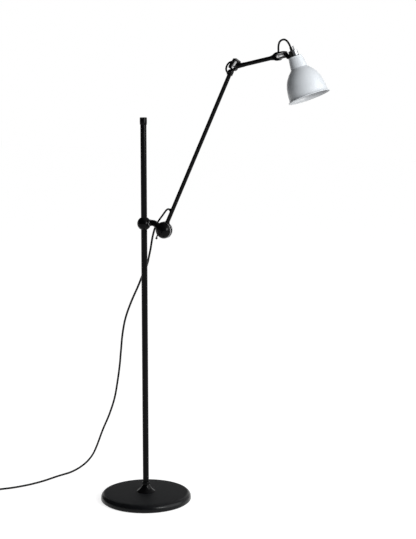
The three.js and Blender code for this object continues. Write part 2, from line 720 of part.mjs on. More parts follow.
function housingWindow() {
  const outline = new THREE.Shape();
  const round = 1.5;
  const w = WINDOW_HALF;
  outline.moveTo(-w + round, -WINDOW_REAR);
  outline.lineTo(w - round, -WINDOW_REAR);
  outline.quadraticCurveTo(w, -WINDOW_REAR, w, -WINDOW_REAR + round);
  outline.lineTo(w, WINDOW_FRONT - round);
  outline.quadraticCurveTo(w, WINDOW_FRONT, w - round, WINDOW_FRONT);
  outline.lineTo(-w + round, WINDOW_FRONT);
  outline.quadraticCurveTo(-w, WINDOW_FRONT, -w, WINDOW_FRONT - round);
  outline.lineTo(-w, -WINDOW_REAR + round);
  outline.quadraticCurveTo(-w, -WINDOW_REAR, -w + round, -WINDOW_REAR);
  return plate(outline, HUB_HALF + 6, 0, 3);
}

// A flared root that a tube's end meets: from the hub to the neck radius, and a spigot.
function flaredRoot(from, to) {
  const flare = [];
  const steps = 5;
  for (let i = 0; i <= steps; i += 1) {
    const share = i / steps;
    const spread = (HUB_HALF - EDGE / 2 - NECK_RADIUS) * (1 - share) ** 2;
    flare.push([NECK_RADIUS + spread, from + (to - from) * share]);
  }
  return revolve([
    [0, from],
    ...flare,
    [ARM_BORE - GAP, to],
    [ARM_BORE - GAP, to + SPIGOT_LENGTH],
    [0, to + SPIGOT_LENGTH],
  ], 20);
}

function knuckleDome() {
  return revolve([
    [SHAFT_RADIUS + GAP, DOME_START],
    [SHAFT_RADIUS + 0.8, DOME_START],
    [DOME_RADIUS - 0.7, DOME_START + 1.6],
    [DOME_RADIUS, DOME_START + 3.6],
    [DOME_RADIUS, DOME_START + DOME_LENGTH - 0.5],
    [DOME_RADIUS - 0.5, DOME_START + DOME_LENGTH],
    [SHAFT_RADIUS + GAP, DOME_START + DOME_LENGTH],
  ]);
}

function knuckleBarrel(length) {
  return revolve([
    [SHAFT_RADIUS + GAP, BARREL_START],
    [BARREL_RADIUS - 0.6, BARREL_START],
    [BARREL_RADIUS, BARREL_START + 0.6],
    [BARREL_RADIUS, BARREL_START + length - 0.6],
    [BARREL_RADIUS - 0.6, BARREL_START + length],
    [SHAFT_RADIUS + GAP, BARREL_START + length],
  ]);
}

function frictionWasher() {
  return ring(BARREL_RADIUS - 1, SHAFT_RADIUS + GAP, WASHER_START, WASHER_START + FRICTION_WASHER,
    20);
}

// ---------------------------------------------------------------- elbow
const elbow = frame(at(0, 0, LOWER_ARM_LENGTH), LOWER_ARM_ANGLE - KNUCKLE_ANGLE);
lowerArm.add(elbow);
const elbowHub = frame(at(0, 0, PIN_TO_HUB));
elbow.add(elbowHub);
const ROOT_LENGTH = 38; // from the elbow hub's centre to the upper tube
const OUTLET_AT = 33; // along the root, where the lead comes in from the back
const OUTLET_BACK = 125; // degrees from the upper arm's direction

// Tongue between the fork's ears, and the shaft through the housing's rear wall.
function elbowShaft() {
  const shaftEnd = PIN_TO_HUB + WINDOW_FRONT - GAP;
  const tongue = alongY(rod(EAR_RADIUS - 0.9, -TONGUE_HALF, TONGUE_HALF, 20));
  const waist = box(
    [-TONGUE_HALF, -TONGUE_HALF, 0],
    [TONGUE_HALF, TONGUE_HALF, PIN_TO_HUB - HUB_REAR - GAP],
  );
  const shaft = rod(SHAFT_RADIUS, PIN_TO_HUB - HUB_REAR - 2, shaftEnd);
  const pin = alongY(rod(PIN_RADIUS + GAP, -THROUGH, THROUGH, 20));
  const thread = rod(SHAFT_SCREW_RADIUS + GAP, shaftEnd - SHAFT_SCREW_LENGTH - 1, shaftEnd + CUT, 12);
  return cut(join(tongue, waist, shaft), pin, thread);
}

// Countersunk screw through the end wall into the shaft.
function endScrew() {
  const top = HOUSING_END;
  return revolve([
    [0, WINDOW_FRONT - GAP - SHAFT_SCREW_LENGTH],
    [SHAFT_SCREW_RADIUS, WINDOW_FRONT - GAP - SHAFT_SCREW_LENGTH],
    [SHAFT_SCREW_RADIUS, top - SHAFT_SCREW_HEAD],
    [SHAFT_SCREW_RADIUS + 2, top - 0.2],
    [SHAFT_SCREW_RADIUS + 2, top + 0.2],
    [0, top + 0.2],
  ], 16);
}

function countersink() {
  const top = HOUSING_END;
  const radius = SHAFT_SCREW_RADIUS + GAP;
  return revolve([
    [0, WINDOW_FRONT - CUT],
    [radius, WINDOW_FRONT - CUT],
    [radius, top - SHAFT_SCREW_HEAD - GAP],
    [radius + 2, top - 0.2 - GAP],
    [radius + 2, top + CUT],
    [0, top + CUT],
  ], 16);
}

// Outlet for the lead, widening towards the outside, from the axis of a root or a cone.
function leadOutlet(back, round, start) {
  const radius = LEAD_RADIUS + GAP;
  return revolve([[0, 0], [radius, 0], [radius, 9], [radius + 1, 26], [0, 26]], 12)
    .rotateX(THREE.MathUtils.degToRad(-back))
    .rotateZ(THREE.MathUtils.degToRad(round))
    .translate(0, 0, start);
}

function elbowHousing() {
  const turn = THREE.MathUtils.degToRad(KNUCKLE_ANGLE - UPPER_ARM_ANGLE);
  const rearHalf = Math.sqrt(HUB_RADIUS ** 2 - HUB_REAR ** 2);
  const body = plate(housingOutline(rearHalf, HUB_REAR), HUB_HALF);
  const root = flaredRoot(4, ROOT_LENGTH).rotateY(turn);
  const shaftHole = rod(SHAFT_RADIUS + GAP, -HUB_REAR - CUT, 0, 20);
  const bore = rod(LEAD_RADIUS + GAP, OUTLET_AT - 2, ROOT_LENGTH + SPIGOT_LENGTH + CUT, 12);
  return cut(
    join(body, root),
    housingWindow(),
    shaftHole,
    countersink(),
    bore.rotateY(turn),
    leadOutlet(OUTLET_BACK, 15, OUTLET_AT).rotateY(turn),
  );
}

elbow.add(piece('elbow_shaft', elbowShaft(), FINISH.blackPaint));
elbowHub.add(
  piece('elbow_dome', knuckleDome(), FINISH.polished),
  piece('elbow_washer', frictionWasher(), FINISH.nylon),
  piece('elbow_barrel', knuckleBarrel(WINDOW_FRONT - GAP - BARREL_START), FINISH.polished),
  piece('elbow_screw', endScrew(), FINISH.satinSteel),
  piece('elbow_housing', elbowHousing(), FINISH.blackPaint),
);

// ---------------------------------------------------------------- upper arm
const upperArm = frame(at(0, 0, 0), KNUCKLE_ANGLE - UPPER_ARM_ANGLE);
elbowHub.add(upperArm);
const CONE_LENGTH = 24; // from the upper tube's end to the head hub's centre
const UPPER_TUBE_END = UPPER_ARM_LENGTH - CONE_LENGTH - GAP;
const LIGHT_WASHER = 3;

upperArm.add(piece(
  'upper_arm_tube',
  ring(ARM_RADIUS, ARM_BORE, ROOT_LENGTH + GAP, UPPER_TUBE_END, 20),
  FINISH.blackPaint,
));

// ---------------------------------------------------------------- head knuckle
const headHub = frame(at(0, 0, UPPER_ARM_LENGTH));
upperArm.add(headHub);

// The hub's flanks run out in tangents to the neck of a cone that the upper tube meets.
function coneOutline() {
  const outline = new THREE.Shape();
  outline.moveTo(-NECK_RADIUS, -CONE_LENGTH);
  outline.lineTo(NECK_RADIUS, -CONE_LENGTH);
  outline.quadraticCurveTo(NECK_RADIUS + 1, -HUB_RADIUS, HUB_RADIUS - 0.6, -WINDOW_REAR);
  outline.lineTo(HUB_RADIUS - 0.6, 0);
  outline.lineTo(-HUB_RADIUS + 0.6, 0);
  outline.lineTo(-HUB_RADIUS + 0.6, -WINDOW_REAR);
  outline.quadraticCurveTo(-NECK_RADIUS - 1, -HUB_RADIUS, -NECK_RADIUS, -CONE_LENGTH);
  return outline;
}

function headHousing() {
  const hub = plate(housingOutline(HUB_RADIUS * 0.6, HUB_RADIUS * 0.8), HUB_HALF);
  const cone = common(
    plate(coneOutline(), HUB_HALF),
    revolve([
      [0, -CONE_LENGTH],
      [NECK_RADIUS, -CONE_LENGTH],
      [NECK_RADIUS + 1.4, -CONE_LENGTH + 7],
      [HUB_RADIUS - 1.5, -HUB_RADIUS + 1],
      [HUB_RADIUS + 2, -WINDOW_REAR],
      [HUB_RADIUS + 2, 0],
      [0, 0],
    ], 20),
  );
  const spigot = rod(ARM_BORE - GAP, -CONE_LENGTH - SPIGOT_LENGTH, -CONE_LENGTH + 2);
  const shaftHole = rod(SHAFT_RADIUS + GAP, 0, HOUSING_END + CUT, 20);
  const outletAt = -CONE_LENGTH + 3;
  const bore = rod(LEAD_RADIUS + GAP, -CONE_LENGTH - SPIGOT_LENGTH - CUT, outletAt + 2, 12);
  return cut(
    join(hub, cone, spigot),
    housingWindow(),
    shaftHole,
    bore,
    leadOutlet(48, 35, outletAt),
  );
}

// Shaft through the end wall, a round flange outside it and a crank to the head pin.
function headCrank() {
  const flangeStart = HOUSING_END + GAP;
  const disc = rod(CRANK_FLANGE_RADIUS, flangeStart, flangeStart + 3, 20);
  const below = box([3, -20, flangeStart - CUT], [20, 20, flangeStart + 3 + CUT]);
  const flange = cut(disc, below);
  const shaft = rod(SHAFT_RADIUS, DOME_START + 1.5, flangeStart + 1);
  const outline = new THREE.Shape();
  outline.moveTo(-CRANK_FLANGE_RADIUS + 1, flangeStart + 0.5);
  outline.lineTo(CRANK_DROP - 1, flangeStart + 0.5);
  outline.lineTo(CRANK_DROP, CRANK_REACH - CRANK_EYE_RADIUS);
  outline.absarc(CRANK_DROP, CRANK_REACH, CRANK_EYE_RADIUS, -Math.PI / 2, 2.1, false);
  outline.lineTo(-CRANK_FLANGE_RADIUS + 1, flangeStart + 3);
  outline.closePath();
  const web = plate(outline, CRANK_HALF, 0.6);
  const pin = alongY(rod(HEAD_PIN_RADIUS + GAP, -THROUGH, THROUGH, 16))
    .translate(CRANK_DROP, 0, CRANK_REACH);
  return cut(join(flange, shaft, web), pin);
}

headHub.add(
  piece('head_housing', headHousing(), FINISH.blackPaint),
  piece('head_dome', knuckleDome(), FINISH.polished),
  piece('head_washer', frictionWasher(), FINISH.nylon),
  piece('head_barrel', knuckleBarrel(BARREL_LENGTH - 1), FINISH.polished),
  piece(
    'head_spacer',
    ring(BARREL_RADIUS - GAP, SHAFT_RADIUS + GAP, WINDOW_FRONT - GAP - LIGHT_WASHER,
      WINDOW_FRONT - GAP),
    FINISH.satinSteel,
  ),
  piece('head_crank', headCrank(), FINISH.blackPaint),
);

// ---------------------------------------------------------------- head
const head = frame(at(CRANK_DROP, 0, CRANK_REACH), UPPER_ARM_ANGLE - SHADE_ANGLE);
headHub.add(head);
const CARRIER_TOP = CAP_BOTTOM - GAP;
const SHADE_TOP = CARRIER_TOP - CARRIER_THICKNESS - GAP;
const SHADE_RIM = SHADE_TOP - SHADE_HEIGHT;
const HOLDER_TOP = SHADE_TOP - SHADE_WALL - GAP;
const HOLDER_BOTTOM = HOLDER_TOP - HOLDER_LENGTH;
const onAxis = (geometry) => geometry.translate(SHADE_AXIS, 0, 0);

// Ring under the cap, a half-round saddle up the arm side of the cap and two ears at the pin.
function headCarrier() {
  const bottom = CARRIER_TOP - CARRIER_THICKNESS;
  const hole = HOLDER_STEM_RADIUS + GAP;
  const space = CAP_OUTER + GAP;
  const profile = [
    [hole, bottom],
    [SADDLE_OUTER, bottom],
    [SADDLE_OUTER, CAP_TOP - 1],
    [space, CAP_TOP - 1],
    [space, CARRIER_TOP],
    [hole, CARRIER_TOP],
  ];
  const openSide = box([1.5, -30, CARRIER_TOP], [30, 30, 30]);
  const saddle = onAxis(cut(revolve(profile), openSide));
  const earHalf = CRANK_HALF + GAP;
  const outline = new THREE.Shape();
  const reach = SHADE_AXIS - SADDLE_OUTER + 2.5;
  outline.moveTo(0, CRANK_EYE_RADIUS);
  outline.absarc(0, 0, CRANK_EYE_RADIUS, Math.PI / 2, (3 * Math.PI) / 2, false);
  outline.lineTo(reach, bottom + 0.02);
  outline.lineTo(reach, CRANK_EYE_RADIUS);
  outline.closePath();
  const ears = plate(outline, earHalf + CARRIER_EAR, 0.8, 5);
  const slot = box([-40, -earHalf, -40], [SHADE_AXIS - SADDLE_OUTER - GAP, earHalf, 40]);
  const pin = alongY(rod(HEAD_PIN_RADIUS + GAP, -THROUGH, THROUGH, 16));
  const capSpace = onAxis(rod(space, CARRIER_TOP, THROUGH, 20));
  return join(cut(ears, slot, pin, capSpace), saddle);
}

function holderCap() {
  const wall = CAP_OUTER - HOLDER_STEM_RADIUS - GAP;
  const cap = revolve([
    [0, CAP_TOP - wall],
    [CAP_OUTER - wall, CAP_TOP - wall],
    [CAP_OUTER - wall, CAP_BOTTOM],
    [CAP_OUTER - 0.5, CAP_BOTTOM],
    [CAP_OUTER, CAP_BOTTOM + 0.5],
    ...arc(CAP_OUTER - 2.5, CAP_TOP - 2.5, 2.5, 0, 90, 4),
    [0, CAP_TOP],
  ]);
  const cordHole = rod(LEAD_RADIUS + GAP, 0, THROUGH, 12).translate(GLAND_AT, 0, 0);
  const switchHole = rod(SWITCH_RADIUS + GAP, 0, THROUGH, 12).translate(SWITCH_AT, 0, 0);
  const screwHole = alongX(rod(CAP_SCREW_RADIUS + GAP, CAP_OUTER - wall - CUT, CAP_OUTER + CUT, 12))
    .translate(0, 0, (CAP_TOP + CAP_BOTTOM) / 2);
  return onAxis(cut(cap, cordHole, switchHole, screwHole));
}

function lampholder() {
  const top = CAP_TOP - (CAP_OUTER - HOLDER_STEM_RADIUS) - 4;
  const body = revolve([
    [0, HOLDER_BOTTOM + SOCKET_DEPTH],
    [SOCKET_RADIUS, HOLDER_BOTTOM + SOCKET_DEPTH],
    [SOCKET_RADIUS, HOLDER_BOTTOM],
    [HOLDER_RADIUS - 1, HOLDER_BOTTOM],
    [HOLDER_RADIUS, HOLDER_BOTTOM + 1],
    [HOLDER_RADIUS, HOLDER_TOP],
    [HOLDER_STEM_RADIUS, HOLDER_TOP],
    [HOLDER_STEM_RADIUS, top],
    [0, top],
  ]);
  const cordHole = rod(LEAD_RADIUS + GAP, HOLDER_TOP - 4, THROUGH, 12).translate(GLAND_AT, 0, 0);
  const switchHole = rod(SWITCH_RADIUS + 1, top - 4, THROUGH, 12).translate(SWITCH_AT, 0, 0);
  return onAxis(cut(body, cordHole, switchHole));
}

// Outer line of the shade from the rim up, as [radius, height above the rim].
function shadeLine() {
  const dome = new THREE.CubicBezierCurve(
    new THREE.Vector2(SHADE_BODY_RADIUS - 1, 24),
    new THREE.Vector2(SHADE_BODY_RADIUS - 4.5, 52),
    new THREE.Vector2(SHADE_BODY_RADIUS - 10.5, 70),
    new THREE.Vector2(CREASE_RADIUS, CREASE_HEIGHT),
  );
  const domePoints = dome.getPoints(6).map((point) => [point.x, point.y]);
  return [
    [SHADE_RIM_RADIUS, 0],
    [SHADE_BODY_RADIUS + 1.5, 3],
    [SHADE_BODY_RADIUS, 8],
    ...domePoints,
    [SHADE_NECK_RADIUS + NECK_STEP, SHADE_HEIGHT - NECK_BAND],
    [SHADE_NECK_RADIUS, SHADE_HEIGHT - NECK_BAND],
    [SHADE_NECK_RADIUS, SHADE_HEIGHT],
  ];
}

// The inner line keeps the wall's thickness from the outer one, and leaves out the step.
function shade() {
  const outer = shadeLine();
  const inner = outer.slice(0, -3).map(([radius, height]) => [radius - SHADE_WALL, height - 0.5]);
  const hole = HOLDER_STEM_RADIUS + GAP;
  const profile = [
    ...outer,
    [hole, SHADE_HEIGHT],
    [hole, SHADE_HEIGHT - SHADE_WALL],
    [SHADE_NECK_RADIUS - SHADE_WALL, SHADE_HEIGHT - SHADE_WALL],
    ...inner.reverse(),
  ];
  return onAxis(revolve(profile, 36).translate(0, 0, SHADE_RIM));
}

function bulbBase() {
  const top = HOLDER_BOTTOM + SOCKET_DEPTH - 1;
  const bottom = top - BULB_BASE_LENGTH;
  return onAxis(revolve([
    [0, bottom],
    [BULB_BASE_RADIUS, bottom],
    [BULB_BASE_RADIUS, top - 6],
    [BULB_BASE_RADIUS - 4, top - 2],
    [4, top - 2],
    [4, top],
    [0, top],
  ], 20));
}

function bulb() {
  const top = HOLDER_BOTTOM + SOCKET_DEPTH - 1 - BULB_BASE_LENGTH - GAP;
  const neck = BULB_BASE_RADIUS + 0.4;
  const centre = top - 38;
  return onAxis(revolve([
    [0, centre - BULB_RADIUS],
    ...arc(0, centre, BULB_RADIUS, -70, 34, 7),
    [neck + 2.4, top - 11],
    [neck, top - 4],
    [neck, top],
    [0, top],
  ]));
}

function cordGland() {
  const bore = LEAD_RADIUS + GAP;
  return revolve([
    [bore, CAP_TOP + GAP],
    [4.6, CAP_TOP + GAP],
    [4.6, CAP_TOP + GAP + 2],
    [4.2, CAP_TOP + GAP + 2.6],
    [3.8, CAP_TOP + GAP + GLAND_LENGTH],
    [bore, CAP_TOP + GAP + GLAND_LENGTH],
  ], 16).translate(SHADE_AXIS + GLAND_AT, 0, 0);
}

function lampSwitch() {
  const bottom = CAP_TOP - 6.3;
  const top = CAP_TOP + SWITCH_HEIGHT;
  return revolve([
    [0, bottom],
    [SWITCH_RADIUS, bottom],
    [SWITCH_RADIUS, top - 0.8],
    [SWITCH_RADIUS - 0.8, top],
    [0, top],
  ], 16).translate(SHADE_AXIS + SWITCH_AT, 0, 0);
}

const headPinHalf = CRANK_HALF + GAP + CARRIER_EAR + GAP;
const headPin = domedPin(HEAD_PIN_RADIUS, HEAD_PIN_HEAD_RADIUS, HEAD_PIN_HEAD, headPinHalf);
const headNut = pinNut(HEAD_PIN_RADIUS, HEAD_PIN_HEAD_RADIUS + 0.4, HEAD_PIN_HEAD, headPinHalf);
head.add(
  piece('head_carrier', headCarrier(), FINISH.blackPaint),
  piece('head_pin', headPin, FINISH.blackPaint),
  piece('head_nut', headNut, FINISH.blackPaint),
  piece('holder_cap', holderCap(), FINISH.polished),
  piece(
    'cap_screw',
    onAxis(alongX(rod(CAP_SCREW_RADIUS, CAP_OUTER - 2, CAP_OUTER + 0.8, 12))
      .translate(0, 0, (CAP_TOP + CAP_BOTTOM) / 2)),
    FINISH.satinSteel,
  ),
  piece('lampholder', lampholder(), FINISH.ceramic),
  piece('shade', shade(), FINISH.whitePaint),
  piece('bulb_base', bulbBase(), FINISH.satinSteel),
  piece('bulb', bulb(), FINISH.opalGlass),
  piece('cord_gland', cordGland(), FINISH.rubber),
  piece('lamp_switch', lampSwitch(), FINISH.greyPlastic),
);

// ---------------------------------------------------------------- cords
// Each cable bridges one joint, so a loop over a knuckle is two pieces that meet half way
// round it. The elbow's loops are drawn from its tilt pin, the head's from the head hub, and
// those at the clip from the clamp ball's centre.
const CLIP_STEP = CLIP_DIRECTION.clone().multiplyScalar(GAP / 2);

function reach(from, degrees, length) {
  const angle = THREE.MathUtils.degToRad(degrees);
  return from.clone().add(at(length * Math.cos(angle), 0, length * Math.sin(angle)));
}

const elbowPinAt = reach(BALL_OFFSET, LOWER_ARM_ANGLE, LOWER_ARM_LENGTH);
const elbowHubAt = reach(elbowPinAt, KNUCKLE_ANGLE, PIN_TO_HUB);
const overElbow = frame(elbowPinAt);
const overHead = frame(reach(elbowHubAt, UPPER_ARM_ANGLE, UPPER_ARM_LENGTH));
clamp.add(overElbow, overHead);

const LOWER_LOOP = [
  at(101.4, 0, 47.7),
  at(96.5, 0, 50),
  at(91.8, 0.3, 51.7),
  at(86.3, 1.5, 50.6),
  at(80.6, 3.2, 46.5),
  at(74.3, 5.2, 40.2),
  at(62.4, 9, 27.2),
  at(53.5, 11.5, 17.7),
  at(45.8, 13, 8.6),
  CLIP_AT.clone().sub(CLIP_STEP),
];
const CLAMP_DROP = [
  CLIP_AT.clone().add(CLIP_STEP),
  at(31.7, 13.2, -17.6),
  at(25.6, 13.4, -36.3),
  at(20.5, 14.2, -56),
  at(14.7, 16.8, -80),
  at(8, 20.5, -100),
  at(1.5, 24.5, -118),
];
const ELBOW_LOOP_LOWER = [
  at(-6.57, 0, -7.44),
  at(-9.47, 0.1, -4.29),
  at(-12.62, 0.9, 0.31),
  at(-14.82, 2.4, 6.11),
  at(-15.57, 3.9, 12.11),
  at(-14.32, 6.8, 20.31),
  at(-10.72, 9.8, 26.76),
  at(-9.72, 10.4, 27.71),
];
const ELBOW_LOOP_UPPER = [
  at(-9.47, 10.55, 27.94),
  at(-8.42, 11.1, 28.81),
  at(-1.72, 14, 32.11),
  at(6.68, 16.6, 33.31),
  at(15.08, 17.5, 31.71),
  at(22.28, 16.8, 27.51),
  at(27.88, 14.6, 23.71),
  at(32.58, 11.1, 22.11),
  at(38.08, 4, 21.31),
];
const HEAD_LOOP_LOWER = [
  at(-16.08, 4.9, 0.01),
  at(-13.28, 7.9, 2.81),
  at(-10.48, 11, 5.61),
  at(-7.68, 13.6, 9.61),
  at(-5.88, 14.8, 15.41),
  at(-5.48, 13.6, 23.21),
  at(-3.68, 10.6, 32.81),
  at(0.92, 6.8, 42.21),
  at(8.32, 3.6, 48.01),
  at(16.82, 1.3, 50.36),
  at(18.32, 1, 50.41),
];
const HEAD_LOOP_UPPER = [
  at(18.67, 0.94, 50.41),
  at(20.12, 0.7, 50.36),
  at(27.32, 0, 47.41),
  at(32.92, 0, 41.81),
  at(37.12, 0, 35.41),
  at(40.02, 0, 29.61),
  at(43.62, 0, 20.71),
  at(46.52, 0, 13.51),
];
// From below the clamp to the floor and along it to the coil, in the lamp's own frame. The
// hanging part is drawn for one height of its upper end, and is stretched to the clamp's.
const DRAWN_TOP = 809.65;
const DROP_TOP = CLAMP_HEIGHT + CLAMP_DROP[CLAMP_DROP.length - 1].z - 0.35;
const hanging = (x, y, z) => at(x, y, z * (DROP_TOP / DRAWN_TOP));
const onFloor = (x, y) => at(x, y, CORD_RADIUS + FLOOR_GAP);
const FLOOR_DROP = [
  hanging(1.38, 24.57, DRAWN_TOP),
  hanging(-2.6, 26.8, 798.6),
  hanging(-8.6, 28.6, 784),
  hanging(-16, 28.8, 769),
  hanging(-24.5, 27.6, 751),
  hanging(-39, 24.8, 716),
  hanging(-65, 22.1, 660.5),
  hanging(-88.3, 24, 604.4),
  hanging(-105.7, 32.2, 546.9),
  hanging(-119.5, 44.1, 488.7),
  hanging(-133.1, 56.1, 429.8),
  hanging(-149.6, 67.7, 370.1),
  hanging(-169.5, 80.2, 309.3),
  hanging(-198.7, 92.7, 246.4),
  hanging(-239, 111.5, 179.6),
  hanging(-278.3, 133.1, 111.3),
  hanging(-299.5, 141.3, 77.4),
  hanging(-322.7, 144.1, 49.2),
  hanging(-345.3, 140.2, 28.1),
  hanging(-363.9, 129.6, 14.4),
  hanging(-379, 114.5, 6.3),
  onFloor(-390, 94.9),
  onFloor(-397.5, 65.7),
  onFloor(-402.9, 35.6),
  onFloor(-408.2, 5.8),
  onFloor(-415.9, -23.9),
  onFloor(-428.4, -59.1),
  onFloor(-446.1, -93.9),
  onFloor(-465.3, -124),
  onFloor(-480.3, -141.4),
  onFloor(-489, -152.4),
  onFloor(-497, -162.6),
  onFloor(-505.5, -173.2),
];

clamp.add(
  piece('lower_loop', sweep(LOWER_LOOP, LEAD_RADIUS, 8, 12), FINISH.rubber),
  piece('clamp_drop', sweep(CLAMP_DROP, CORD_RADIUS, 8, 9), FINISH.rubber),
);
overElbow.add(
  piece('elbow_loop_lower', sweep(ELBOW_LOOP_LOWER, LEAD_RADIUS, 8, 6), FINISH.rubber),
  piece('elbow_loop_upper', sweep(ELBOW_LOOP_UPPER, LEAD_RADIUS, 8, 9), FINISH.rubber),
);
overHead.add(
  piece('head_loop_lower', sweep(HEAD_LOOP_LOWER, LEAD_RADIUS, 8, 11), FINISH.rubber),
  piece('head_loop_upper', sweep(HEAD_LOOP_UPPER, LEAD_RADIUS, 8, 7), FINISH.rubber),
);
lamp.add(piece('floor_drop', sweep(FLOOR_DROP, CORD_RADIUS, 8, 46), FINISH.rubber));

// The unused length, wound flat on the floor, and the plug beside it.
const COIL_HALF = COIL_COLUMNS * CORD_RADIUS;

function cordCoil() {
  const inner = COIL_RADIUS - COIL_HALF;
  const outer = COIL_RADIUS + COIL_HALF;
  const top = 2 * CORD_RADIUS * COIL_LAYERS;
  const ease = 2;
  return revolve([
    [inner, FLOOR_GAP + ease],
    [inner + ease, FLOOR_GAP],
    [outer - ease, FLOOR_GAP],
    [outer, FLOOR_GAP + ease],
    [outer, FLOOR_GAP + top - ease],
    [outer - ease, FLOOR_GAP + top],
    [inner + ease, FLOOR_GAP + top],
    [inner, FLOOR_GAP + top - ease],
  ], 24).translate(...COIL_CENTRE);
}

function plugBody() {
  const outline = new THREE.Shape();
  const shoulder = PLUG_RELIEF + PLUG_BODY_LENGTH * 0.55;
  const front = PLUG_RELIEF + PLUG_BODY_LENGTH;
  outline.moveTo(PLUG_RELIEF - 1, -PLUG_TAIL_HALF_WIDTH);
  outline.bezierCurveTo(PLUG_RELIEF + 9, -PLUG_TAIL_HALF_WIDTH, shoulder - 9, -PLUG_HALF_WIDTH,
    shoulder, -PLUG_HALF_WIDTH);
  outline.lineTo(front, -PLUG_HALF_WIDTH);
  outline.lineTo(front, PLUG_HALF_WIDTH);
  outline.lineTo(shoulder, PLUG_HALF_WIDTH);
  outline.bezierCurveTo(shoulder - 9, PLUG_HALF_WIDTH, PLUG_RELIEF + 9, PLUG_TAIL_HALF_WIDTH,
    PLUG_RELIEF - 1, PLUG_TAIL_HALF_WIDTH);
  const ease = 2;
  const body = new THREE.ExtrudeGeometry(outline, {
    depth: PLUG_THICKNESS - 2 * ease,
    bevelThickness: ease,
    bevelSize: ease,
    bevelOffset: -ease,
    bevelSegments: 2,
    curveSegments: 6,
  }).translate(0, 0, ease);
  const sleeve = alongX(revolve([
    [0, 0],
    [SLEEVE_RADIUS, 0],
    [5.4, PLUG_RELIEF + 2],
    [0, PLUG_RELIEF + 2],
  ], 16)).translate(0, 0, PLUG_THICKNESS / 2);
  return join(body, sleeve);
}

lamp.add(piece('cord_coil', cordCoil(), FINISH.rubber));

// The cord leaves the coil a quarter turn on from where it arrives, and the plug's sleeve
// starts where that tangent clears the coil.
const tailRadius = COIL_RADIUS + COIL_HALF - CORD_RADIUS;
const coilEdge = COIL_RADIUS + COIL_HALF + GAP;
const sleeveInner = tailRadius - SLEEVE_RADIUS;
const tailLength = Math.sqrt(coilEdge ** 2 - sleeveInner ** 2);
const plug = new THREE.Group();
const tailDirection = at(COIL_ENTRY.y, -COIL_ENTRY.x, 0);
plug.position.copy(COIL_CENTRE)
  .addScaledVector(COIL_ENTRY, tailRadius)
  .addScaledVector(tailDirection, tailLength);
plug.position.z = GAP;
plug.rotation.z = Math.atan2(tailDirection.y, tailDirection.x);
plug.add(piece('plug_body', plugBody(), FINISH.rubber));
for (const [name, side] of [['plug_pin_left', 1], ['plug_pin_right', -1]]) {
  const start = PLUG_RELIEF + PLUG_BODY_LENGTH + GAP;
  const pin = revolve([
    [0, start],
    [CONTACT_RADIUS, start],
    [CONTACT_RADIUS, start + CONTACT_LENGTH - 1.5],
    [0, start + CONTACT_LENGTH],
  ], 16);
  const placed = alongX(pin).translate(0, (side * PIN_PITCH) / 2, PLUG_THICKNESS / 2);
  plug.add(piece(name, placed, FINISH.brass));
}
lamp.add(plug);

export default lamp;
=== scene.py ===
"""Looks of the adjustable arm floor lamp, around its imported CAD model. Metres, +Z up."""

import json
import math

import bmesh
import bpy
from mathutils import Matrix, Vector


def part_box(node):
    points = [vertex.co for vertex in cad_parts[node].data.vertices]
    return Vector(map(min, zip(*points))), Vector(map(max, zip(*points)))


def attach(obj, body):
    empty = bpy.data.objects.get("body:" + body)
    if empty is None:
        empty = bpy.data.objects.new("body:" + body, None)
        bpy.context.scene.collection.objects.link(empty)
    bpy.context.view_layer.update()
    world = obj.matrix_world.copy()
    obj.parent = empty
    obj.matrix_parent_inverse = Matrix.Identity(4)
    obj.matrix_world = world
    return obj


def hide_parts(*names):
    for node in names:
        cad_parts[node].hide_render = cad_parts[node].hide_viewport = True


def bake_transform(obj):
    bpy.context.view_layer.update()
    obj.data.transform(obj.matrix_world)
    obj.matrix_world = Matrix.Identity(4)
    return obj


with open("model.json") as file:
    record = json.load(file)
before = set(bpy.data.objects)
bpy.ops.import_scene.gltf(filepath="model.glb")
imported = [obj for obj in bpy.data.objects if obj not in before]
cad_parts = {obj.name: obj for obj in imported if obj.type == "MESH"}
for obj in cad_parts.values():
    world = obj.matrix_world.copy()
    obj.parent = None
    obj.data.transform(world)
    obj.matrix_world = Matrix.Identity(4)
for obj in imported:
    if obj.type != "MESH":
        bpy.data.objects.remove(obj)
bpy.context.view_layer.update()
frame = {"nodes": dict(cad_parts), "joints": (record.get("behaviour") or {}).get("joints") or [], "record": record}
scene = bpy.context.scene
nodes = frame["nodes"]

# ---------------------------------------------------------------- camera
CAMERA_AZIMUTH = math.radians(28)
CAMERA_PITCH = math.radians(9)
CAMERA_DISTANCE = 4.501  # along the floor, from the lamp's pole
CAMERA_ASIDE = 0.207  # to the right of the pole
CAMERA_HEIGHT = 1.49
LENS = 93.5
SENSOR = 36

UP = Vector((0, 0, 1))
RIGHT = Vector((math.cos(CAMERA_AZIMUTH), math.sin(CAMERA_AZIMUTH), 0))  # of the picture
BACK = Vector((math.sin(CAMERA_AZIMUTH), -math.cos(CAMERA_AZIMUTH), 0))  # to the camera


def make_camera():
    camera = bpy.data.objects.new("camera", bpy.data.cameras.new("camera"))
    camera.data.sensor_width = SENSOR
    camera.data.lens = LENS
    camera.location = BACK * CAMERA_DISTANCE + RIGHT * CAMERA_ASIDE + UP * CAMERA_HEIGHT
    camera.rotation_euler = (math.radians(90) - CAMERA_PITCH, 0, CAMERA_AZIMUTH)
    scene.collection.objects.link(camera)
    scene.camera = camera


make_camera()

# ---------------------------------------------------------------- cords
MM = 0.001
CORD_RADIUS = 3.3  # of the free cord, in millimetres like the routes
LEAD_RADIUS = 3
CORD_SIDES = 16
CORD_STEP = 0.0035

